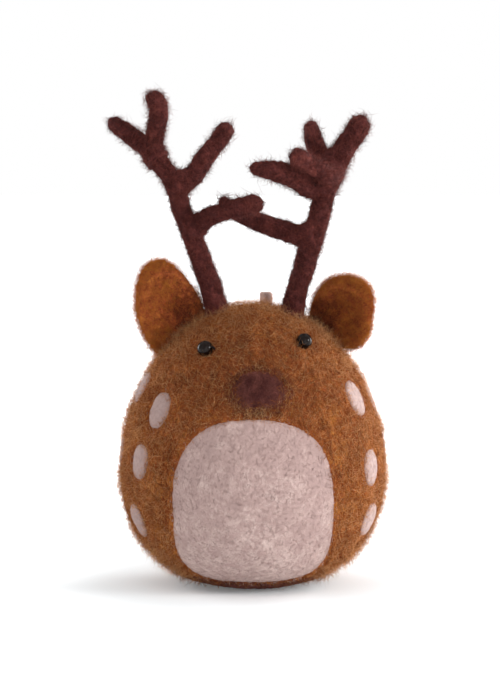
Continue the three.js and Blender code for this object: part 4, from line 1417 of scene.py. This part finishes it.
class FELTDEER_OT_patch(bpy.types.Operator):
    """Make the pale patch on the belly and the pale spots"""

    bl_idname = "felt_deer.patch"
    bl_label = "Patch and spots"

    def execute(self, context):
        ball, trim, _ = sizes_of(context)
        egg = Egg(ball)
        pale = colours_of(context, "pale")
        self.skin = wool_skin("pale_felt", *pale, clump=2.2, bump=0.08, sheen=0.2, soft=1.9)
        self.strand = wool_fibre("pale_fibre", *pale, sheen=0.15, through=0.2)
        self.patch(egg, trim)
        for side in SIDES:
            for k in range(len(SPOTS[side])):
                self.spot(egg, trim, side, k)
        return {"FINISHED"}

    def patch(self, egg, trim):
        """The patch: a pad whose face stands a little proud of the ball."""
        middle = mm(trim.patch_top + trim.patch_foot) / 2 - egg.belt

        def put(across, along, lift):
            return egg.front(across, middle + along, lift)

        # Painted light: lighter towards the patch's foot, which faces down, and a little darker elsewhere
        def tone(points):
            return 0.1 * ease(32, 6, points[..., 2]) - 0.02

        surface = pad_surface(put, mm(trim.patch_wide), mm(trim.patch_top - trim.patch_foot) / 2,
                              (trim.patch_power, trim.foot_power), PATCH_DOME,
                              lambda points: felt_face(points, 0.055, 31))
        form = capped(surface.grid(130, 240))
        clouds = 0.05 * lumps(form[0] * (1, 1, 0.6), 3.5, 33) + 0.04 * lumps(form[0], 1.6, 34)
        shade = 0.5 + clouds + 2 * tone(form[0])
        make_piece("belly_patch_felt", form, self.skin.material, ["belly_patch"], shade)
        coated("belly_patch_wool", surface, "patch", self.strand, "pale_wool", "belly_patch",
               count=9500, seed=131, b_range=(surface.edge + 0.3, surface.b_range[1]), tone=tone)

    def spot(self, egg, trim, side, k):
        """One spot: a small low pad, a little uneven in outline, with its own fibres."""
        seed = 400 + 20 * k + (7 if side == "right" else 0)
        draw = np.random.default_rng(seed)
        base = round_place(egg, spot_centre(egg, side, k))
        tilt = draw.normal(0, 0.08)
        cos, sin = math.cos(tilt), math.sin(tilt)
        wide = mm(trim.spot_wide) * draw.uniform(0.93, 1.03)
        high = mm(trim.spot_high) * draw.uniform(0.95, 1.03)

        def put(across, along, lift):
            return base(across * cos - along * sin, across * sin + along * cos, lift)

        surface = pad_surface(put, wide, high, (SPOT_POWER, SPOT_POWER), SPOT_DOME,
                              lambda points: felt_face(points, 0.05, seed))
        skin = capped(surface.grid(22, 44))
        face = surface.edge - 0.25, surface.b_range[1]
        wool, shade = fibres(surface, 200, seed, COATS["spot"], b_range=face)
        name = "spot_%s_%d" % (side, k + 1)
        # The left side's spots are darkened, a painted shade of that side
        shades = np.concatenate([0.58 + 0.05 * lumps(skin[0], 1.1, seed), shade + 0.3]) + PAINTED_SPOT_SHADE[side]
        make_piece(name + "_felt", joined([skin, wool]), self.strand.material, [name],
                   np.clip(shades, 0, 1))


class FELTDEER_OT_nose(bpy.types.Operator):
    """Make the nose of dark wool"""

    bl_idname = "felt_deer.nose"
    bl_label = "Nose"

    def execute(self, context):
        ball, trim, _ = sizes_of(context)
        egg = Egg(ball)
        wool = colours_of(context, "nose")
        high = mm(trim.nose_high)
        dome = Dome(NOSE_EDGE, mm(trim.nose_proud) - NOSE_EDGE, high, 2.1, 0.8, NOSE_UNDER)
        surface = pad_surface(round_place(egg, nose_centre(egg)), mm(trim.nose_wide), high,
                              (NOSE_POWER, NOSE_POWER), dome, lambda points: felt_face(points, 0.11, 51))

        def tone(points):
            return 0.08 * lumps(points, 3.2, 57) + 0.02

        def rim(points):
            inside = in_nose(points)
            return ease(-1.5, -0.2, inside) ** 2 * (inside < 0.3)

        skin = wool_skin("nose_felt", *wool, clump=2.4, sheen=0.3, soft=1.7)
        pad = capped(surface.grid(70, 110))
        shade = even(pad) + tone(pad[0])
        make_piece("nose_felt_pad", pad, skin.material, ["nose_pad"], shade)
        strand = wool_fibre("nose_fibre", *wool, through=0.15)
        coated("nose_wool_nap", surface, "nose_nap", strand, "nose_wool", "nose_pad",
               count=2600, seed=151, b_range=(surface.edge, surface.b_range[1]), tone=tone)
        _, found, skin_of_ball = ball_surface(ball, trim)
        in_nose = found["nose"][0]
        coated("nose_wool_edge", skin_of_ball, "nose_edge", strand, "nose_wool", "nose_pad",
               count=800, seed=153, weigh=rim)
        tan = wool_fibre("nose_tan_fibre", *colours_of(context, "tan"), through=0.1)
        coated("nose_tan_nap", surface, "nose_tan", tan, "nose_wool", "nose_pad",
               count=420, seed=155, b_range=(surface.edge - 0.4, surface.edge + 1.5))
        return {"FINISHED"}


class FELTDEER_OT_ears(bpy.types.Operator):
    """Make the two cupped ears"""

    bl_idname = "felt_deer.ears"
    bl_label = "Ears"

    def execute(self, context):
        ball, _, antler = sizes_of(context)
        egg = Egg(ball)
        wool = colours_of(context, "ear")
        skin, strand = wool_skin("ear_felt", *wool), wool_fibre("ear_fibre", *wool, through=0.25)
        haze = wool_fibre("ear_haze", *wool, through=0.4)
        cup = mm(antler.ear_cup)
        for k, (side, ear) in enumerate(EARS.items()):
            node = "ear_" + side
            surface = self.leaf(egg, ear, mm(antler.ear_thick) / 2, cup, 61 + k)
            tone, at_rim = self.painted_cup_shade_and_rim_highlight(egg, ear, cup)
            form = capped(surface.grid(110, 120))
            make_piece(node + "_felt", form, skin.material, [node], 0.5 + tone(form[0]))
            coated(node + "_wool", surface, "ear_wool", strand, "tan_wool", node,
                   count=int(0.45 * antler.ear_fibres), seed=160 + k, tone=tone)
            coated(node + "_haze", surface, "ear_haze", haze, "tan_wool", node,
                   count=int(0.95 * antler.ear_fibres), seed=164 + k, weigh=at_rim, tone=tone)
        return {"FINISHED"}

    def place_of(self, egg, ear):
        """The ear's root on the crown, and the rows that turn its own directions to the ball's."""
        root = egg.crown_at(egg.radius * ear["root"][0], egg.radius * ear["root"][1])
        cos, sin = math.cos(ear["lean"]), math.sin(ear["lean"])
        leaned = np.array([[cos, 0, sin], [0, 1, 0], [-sin, 0, cos]])
        cos, sin = math.cos(ear["turn"]), math.sin(ear["turn"])
        return root, leaned @ np.array([[cos, sin, 0], [-sin, cos, 0], [0, 0, 1]])

    def painted_cup_shade_and_rim_highlight(self, egg, ear, cup_depth):
        """How much lighter the colour is at points: darker in the hollow of the front, a painted shade partly
        over darker wool, and lighter at the rim, a painted highlight where the rim catches the light; and how
        much of the loose wool sits there, most of it at the rim."""
        root, rows = self.place_of(egg, ear)

        def spread(points):
            own = (points - root) @ rows.T
            return own[..., 0] / ear["wide"], own[..., 1], (own[..., 2] - ear["rise"]) / ear["long"]

        def tone(points):
            across, depth, along = spread(points)
            off = np.hypot(across - ear["hollow"][0], along - ear["hollow"][1])
            cup = cup_depth * np.maximum(0, 1 - across**2 - (along + CUP_DROP / ear["long"]) ** 2)
            front = ease(0.8, -0.8, depth - cup)
            rim = ease(0.82, 1.03, np.hypot(across, along))
            # Painted shade in the hollow, partly darker wool, and a painted highlight at the rim, over random
            # tone
            return -ear["hollow"][2] * ease(1.0, 0.1, off) * front + 0.1 * rim + 0.04 * lumps(points, 3, 59)

        def at_rim(points):
            across, _, along = spread(points)
            return 0.3 + ease(0.8, 1.0, np.hypot(across, along))

        return tone, at_rim

    def leaf(self, egg, ear, half, cup_depth, seed):
        """A leaf in its own plane: half thickness H * (1 - share ** 6) ** 0.5 from the middle to the rim,
        and a cup that moves it back by depth * max(0, 1 - off ** 2)."""
        turn = np.linspace(0, math.pi, 1200)
        share = np.abs(np.sin(turn)) ** (1 / 3)
        off = -np.cos(turn) * np.sqrt(np.maximum(0, 1 - (share * 0.9) ** 6))
        line = np.stack([share * (ear["wide"] + ear["long"]) / 2, off * half, 0 * off], -1)
        knots = lengths_along(line)
        root, rows = self.place_of(egg, ear)

        def put(a, b):
            s, face = np.interp(b, knots, share), np.interp(b, knots, off)
            s = s * sum(c * np.cos(k * a) + d * np.sin(k * a) for k, (c, d) in enumerate(ear["edge"]))
            across, along = ear["wide"] * s * np.cos(a), ear["long"] * s * np.sin(a)
            off_cup = np.hypot(across / ear["wide"], (along + CUP_DROP) / ear["long"])
            cup = cup_depth * np.maximum(0, 1 - off_cup**2)
            return np.stack([across, cup - face * half, along + ear["rise"]], -1) @ rows + root

        return Surface(put, lambda points: felt_face(points, 0.1, seed), (0.05, knots[-1] - 0.05), 0.8)


class FELTDEER_OT_antlers(bpy.types.Operator):
    """Make the antlers of dark wool felted on wire"""

    bl_idname = "felt_deer.antlers"
    bl_label = "Antlers"

    def execute(self, context):
        ball, _, sizes = sizes_of(context)
        egg = Egg(ball)
        wool = colours_of(context, "dark")
        skin = wool_skin("antler_felt", *wool, clump=1.8, sheen=0.25, soft=1.4)
        strand = wool_fibre("antler_fibre", *wool, sheen=0.15, through=0.15)
        for k, side in enumerate(ANTLERS):
            limbs = self.limbs(egg, sizes, side, 71 + 9 * k)
            nodes = ["antler_%s_tine_%s" % (side, name) for name in ANTLERS[side]["tines"]]
            nodes.append("antler_%s_beam" % side)
            self.felted(context, egg, side, limbs, mm(sizes.grain), skin.material, nodes)
            self.nap(side, limbs, sizes.fibres, strand.material, nodes, 170 + 20 * k)
        self.wires()
        return {"FINISHED"}

    def limbs(self, egg, sizes, side, seed):
        """The surfaces of a beam and its tines, each with a root that widens into what carries it."""
        antler = ANTLERS[side]
        scale = np.array([mm(sizes.spread), mm(sizes.depth), mm(sizes.height)])
        base = egg.crown_at(*(egg.radius * share for share in antler["base"]))
        seat = mm(sizes.seat)
        route = base + np.array(antler["route"]) * scale
        inward = unit(base - route[0])
        beam = curve_through([base + inward * seat, base, *route])
        length = lengths_along(beam)[-1]

        def beam_radius(s):
            share = s / length
            size, reach = BEAM_FLARE
            flare = size * bell(np.maximum(0, s - seat), reach)
            return self.tapered(antler["stem"], antler["tip"], antler["swell"], share) + flare

        found = {"beam": limb_surface(beam, beam_radius, seed)}
        for k, (name, (start, thick, thin, swell, tine)) in enumerate(antler["tines"].items()):
            root = at_lengths(beam, start * length)
            line = curve_through([root, *(base + np.array(tine) * scale)])
            total = lengths_along(line)[-1]

            def radius(s, thick=thick, thin=thin, swell=swell, total=total):
                size, reach = TINE_WEB
                web = size * bell(np.maximum(0, s - TINE_WEB_START), reach)
                return self.tapered(thick, thin, swell, s / total) + web

            found[name] = limb_surface(line, radius, seed + k + 1)
        if "tuft" in antler:
            line = curve_through(base + np.array(antler["tuft"]) * scale)
            found["tuft"] = even_limb(line, TUFT_RADIUS, seed + 8)
        return found

    def tapered(self, root, tip, swell, share):
        """root * (1 - share) + tip * share + swell * sin(half a turn * share)."""
        return root + (tip - root) * share + swell * np.sin(math.pi * share)

    def felted(self, context, egg, side, limbs, grain, material, nodes):
        """One skin over all limbs of an antler: they are merged on a fine grid, smoothed, and made uneven."""
        grids = [surface.grid(int(surface.b_range[1] / 0.35), 40) for surface in limbs.values()]
        rough = joined([capped(grid) for grid in grids])
        piece = make_piece("antler_%s_felt" % side, rough, material, nodes)
        merge = piece.modifiers.new("merge", "REMESH")
        merge.mode, merge.voxel_size, merge.use_smooth_shade = "VOXEL", grain * MM, True
        soften = piece.modifiers.new("soften", "SMOOTH")
        soften.factor, soften.iterations = 0.5, 5
        merged = bpy.data.meshes.new_from_object(piece.evaluated_get(context.evaluated_depsgraph_get()))
        piece.modifiers.clear()
        points, outs = np.zeros(len(merged.vertices) * 3), np.zeros(len(merged.vertices) * 3)
        merged.vertices.foreach_get("co", points)
        merged.vertex_normals.foreach_get("vector", outs)
        points, outs = points.reshape(-1, 3) / MM, outs.reshape(-1, 3)
        middle = np.array([0, 0, egg.belt])
        above = np.linalg.norm(points - middle, axis=1) - np.linalg.norm(egg.towards(points) - middle, axis=1)
        skirt, reach = ANTLER_SKIRT
        off = felt_face(points, 1, 83, ANTLER_GRAIN) + skirt * np.exp(-np.abs(above) / reach)
        merged.vertices.foreach_set("co", ((points + outs * off[:, None]) * MM).ravel())
        merged.attributes.new("shade", "FLOAT", "POINT").data.foreach_set("value", np.full(len(points), 0.5))
        merged.polygons.foreach_set("use_smooth", np.full(len(merged.polygons), True))
        merged.materials.clear()
        merged.materials.append(material)
        old, piece.data = piece.data, merged
        bpy.data.meshes.remove(old)
        merged.name = piece.name

    def nap(self, side, limbs, count, material, nodes, seed):
        """The antler's fibres, spread over its limbs by their lengths, and denser on the beam."""
        spans = {name: limb.b_range[1] * (1.5 if name == "beam" else 1.0) for name, limb in limbs.items()}
        coats = (("antler_nap", 0.5), ("antler_down", 0.9), ("antler_strays", 0.14))
        forms, shades = [], []
        for k, (name, surface) in enumerate(limbs.items()):
            share = spans[name] / sum(spans.values())
            for j, (coat, part) in enumerate(coats):
                form, shade = fibres(surface, int(count * share * part), seed + 3 * k + j, COATS[coat])
                forms.append(form)
                shades.append(shade)
        shade = np.concatenate(shades)
        make_piece("antler_%s_wool" % side, joined(forms), material, nodes, shade)

    def wires(self):
        """The wires inside keep their own solids and get a drawn steel finish."""
        steel = drawn_steel()
        for name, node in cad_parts.items():
            if name.endswith("_wire"):
                node.data.materials.clear()
                node.data.materials.append(steel)


class FELTDEER_OT_eyes(bpy.types.Operator):
    """Make the bead eyes and the thread that holds them"""

    bl_idname = "felt_deer.eyes"
    bl_label = "Eyes"

    def execute(self, context):
        ball, trim, _ = sizes_of(context)
        egg = Egg(ball)
        eyes = eye_places(egg, trim)
        glass = bead_glass()
        for side, (_, _, bore, centre) in eyes.items():
            form = self.bead(centre, bore, mm(trim.bead), mm(trim.bead_bore))
            make_piece("eye_%s_bead" % side, form, glass, ["eye_" + side])
        self.thread(context, egg, eyes, trim)
        return {"FINISHED"}

    def bead(self, centre, way, radius, bore):
        """A round bead with a hole through it and a rounded lip: an outline turned about the way of the
        hole."""
        mouth = math.asin((bore + BEAD_LIP) / radius)
        angle = np.linspace(mouth, math.pi - mouth, 44)
        outer = np.stack([radius * np.sin(angle), -radius * np.cos(angle)], -1)
        end = radius * math.cos(mouth)
        bent = np.linspace(0.15, 1, 5)[:, None] * (math.pi / 2)
        turn = np.concatenate([np.sin(bent), 1 - np.cos(bent)], 1) * BEAD_LIP
        far = np.array([bore + BEAD_LIP, end - 0.02]) - turn
        near = far[::-1] * (1, -1)
        inner = np.stack([np.full(8, bore), np.linspace(end - 0.2, -end + 0.2, 8)], -1)
        outline = np.concatenate([outer, far, inner, near])
        side = unit(np.cross(way, (0.3, -0.5, 0.8)))
        other = np.cross(way, side)
        spin = np.linspace(0, TAU, 56, endpoint=False)
        ways = side * np.cos(spin)[:, None] + other * np.sin(spin)[:, None]
        grid = centre + outline[:, 1, None, None] * way + outline[:, 0, None, None] * ways
        return grid.reshape(-1, 3), between_rings(len(outline), len(spin), True), np.zeros((0, 3), int)

    def thread(self, context, egg, eyes, trim):
        """One dark thread through both beads: two strands twisted, with a knot at each end inside the
        ball."""
        radius, edge = mm(trim.thread), mm(trim.bead)
        crossing = np.array([0, -0.27 * egg.radius, 0.5 * egg.crown + egg.belt])
        stitches = []
        for seat, out, bore, centre in eyes.values():
            sides = [
                [
                    seat + way * (edge + 0.1) * bore - 4 * out,
                    seat + way * (edge + 0.05) * bore - 0.3 * out,
                    centre + way * (edge + 0.08) * bore - 0.35 * out,
                    centre + way * (edge - 0.3) * bore,
                ]
                for way in (-1, 1)
            ]
            stitches.append([*sides[0], centre, *sides[1][::-1]])
        ends = [crossing + (way * 3, 3, -3) for way in (-1, 1)]
        line = curve_through([ends[0], *stitches[0], crossing, *stitches[1], ends[1]])
        line = evenly(line, int(lengths_along(line)[-1] / THREAD_STEP))
        forms = [twisted_form(line, radius, THREAD_PITCH, strands=2, sides=12, groove=0.2)]
        forms += [capped(ring_grid(knot_line(end, 0.19, 80), radius, 10)) for end in ends]
        colour = tuple(context.scene.felt_deer_colours.thread)
        material = twisted("thread_twist", colour, THREAD_PITCH, radius, 0.03)
        make_piece("eye_thread_twist", joined(forms), material, ["eye_thread"])


OPERATORS = (
    FELTDEER_OT_stage,
    FELTDEER_OT_loop,
    FELTDEER_OT_ball,
    FELTDEER_OT_patch,
    FELTDEER_OT_nose,
    FELTDEER_OT_ears,
    FELTDEER_OT_antlers,
    FELTDEER_OT_eyes,
)


class FELTDEER_PT_panel(bpy.types.Panel):
    """The sizes, colours and makers of the ornament."""

    bl_idname = "FELTDEER_PT_panel"
    bl_label = "Felt deer"
    bl_space_type = "VIEW_3D"
    bl_region_type = "UI"
    bl_category = "Felt deer"

    def draw(self, context):
        layout = self.layout
        for operator in OPERATORS:
            layout.operator(operator.bl_idname)
        for name in GROUPS:
            group = getattr(context.scene, name)
            layout.label(text=name.replace("_", " "))
            for key in group.bl_rna.properties.keys():
                if key not in ("rna_type", "name"):
                    layout.prop(group, key)


GROUPS = {
    "felt_deer_ball": FeltDeerBall,
    "felt_deer_trim": FeltDeerTrim,
    "felt_deer_antler": FeltDeerAntler,
    "felt_deer_colours": FeltDeerColours,
}


def register():
    for group in (*GROUPS.values(), *OPERATORS, FELTDEER_PT_panel):
        bpy.utils.register_class(group)
    for name, group in GROUPS.items():
        setattr(bpy.types.Scene, name, PointerProperty(type=group))


def unregister():
    for name in GROUPS:
        delattr(bpy.types.Scene, name)
    for group in (FELTDEER_PT_panel, *OPERATORS[::-1], *reversed(GROUPS.values())):
        bpy.utils.unregister_class(group)


def main():
    """Makes everything, the stage and the loop first."""
    register()
    for operator in OPERATORS:
        group, call = operator.bl_idname.split(".")
        getattr(getattr(bpy.ops, group), call)()


if __name__ == "__main__":
    main()
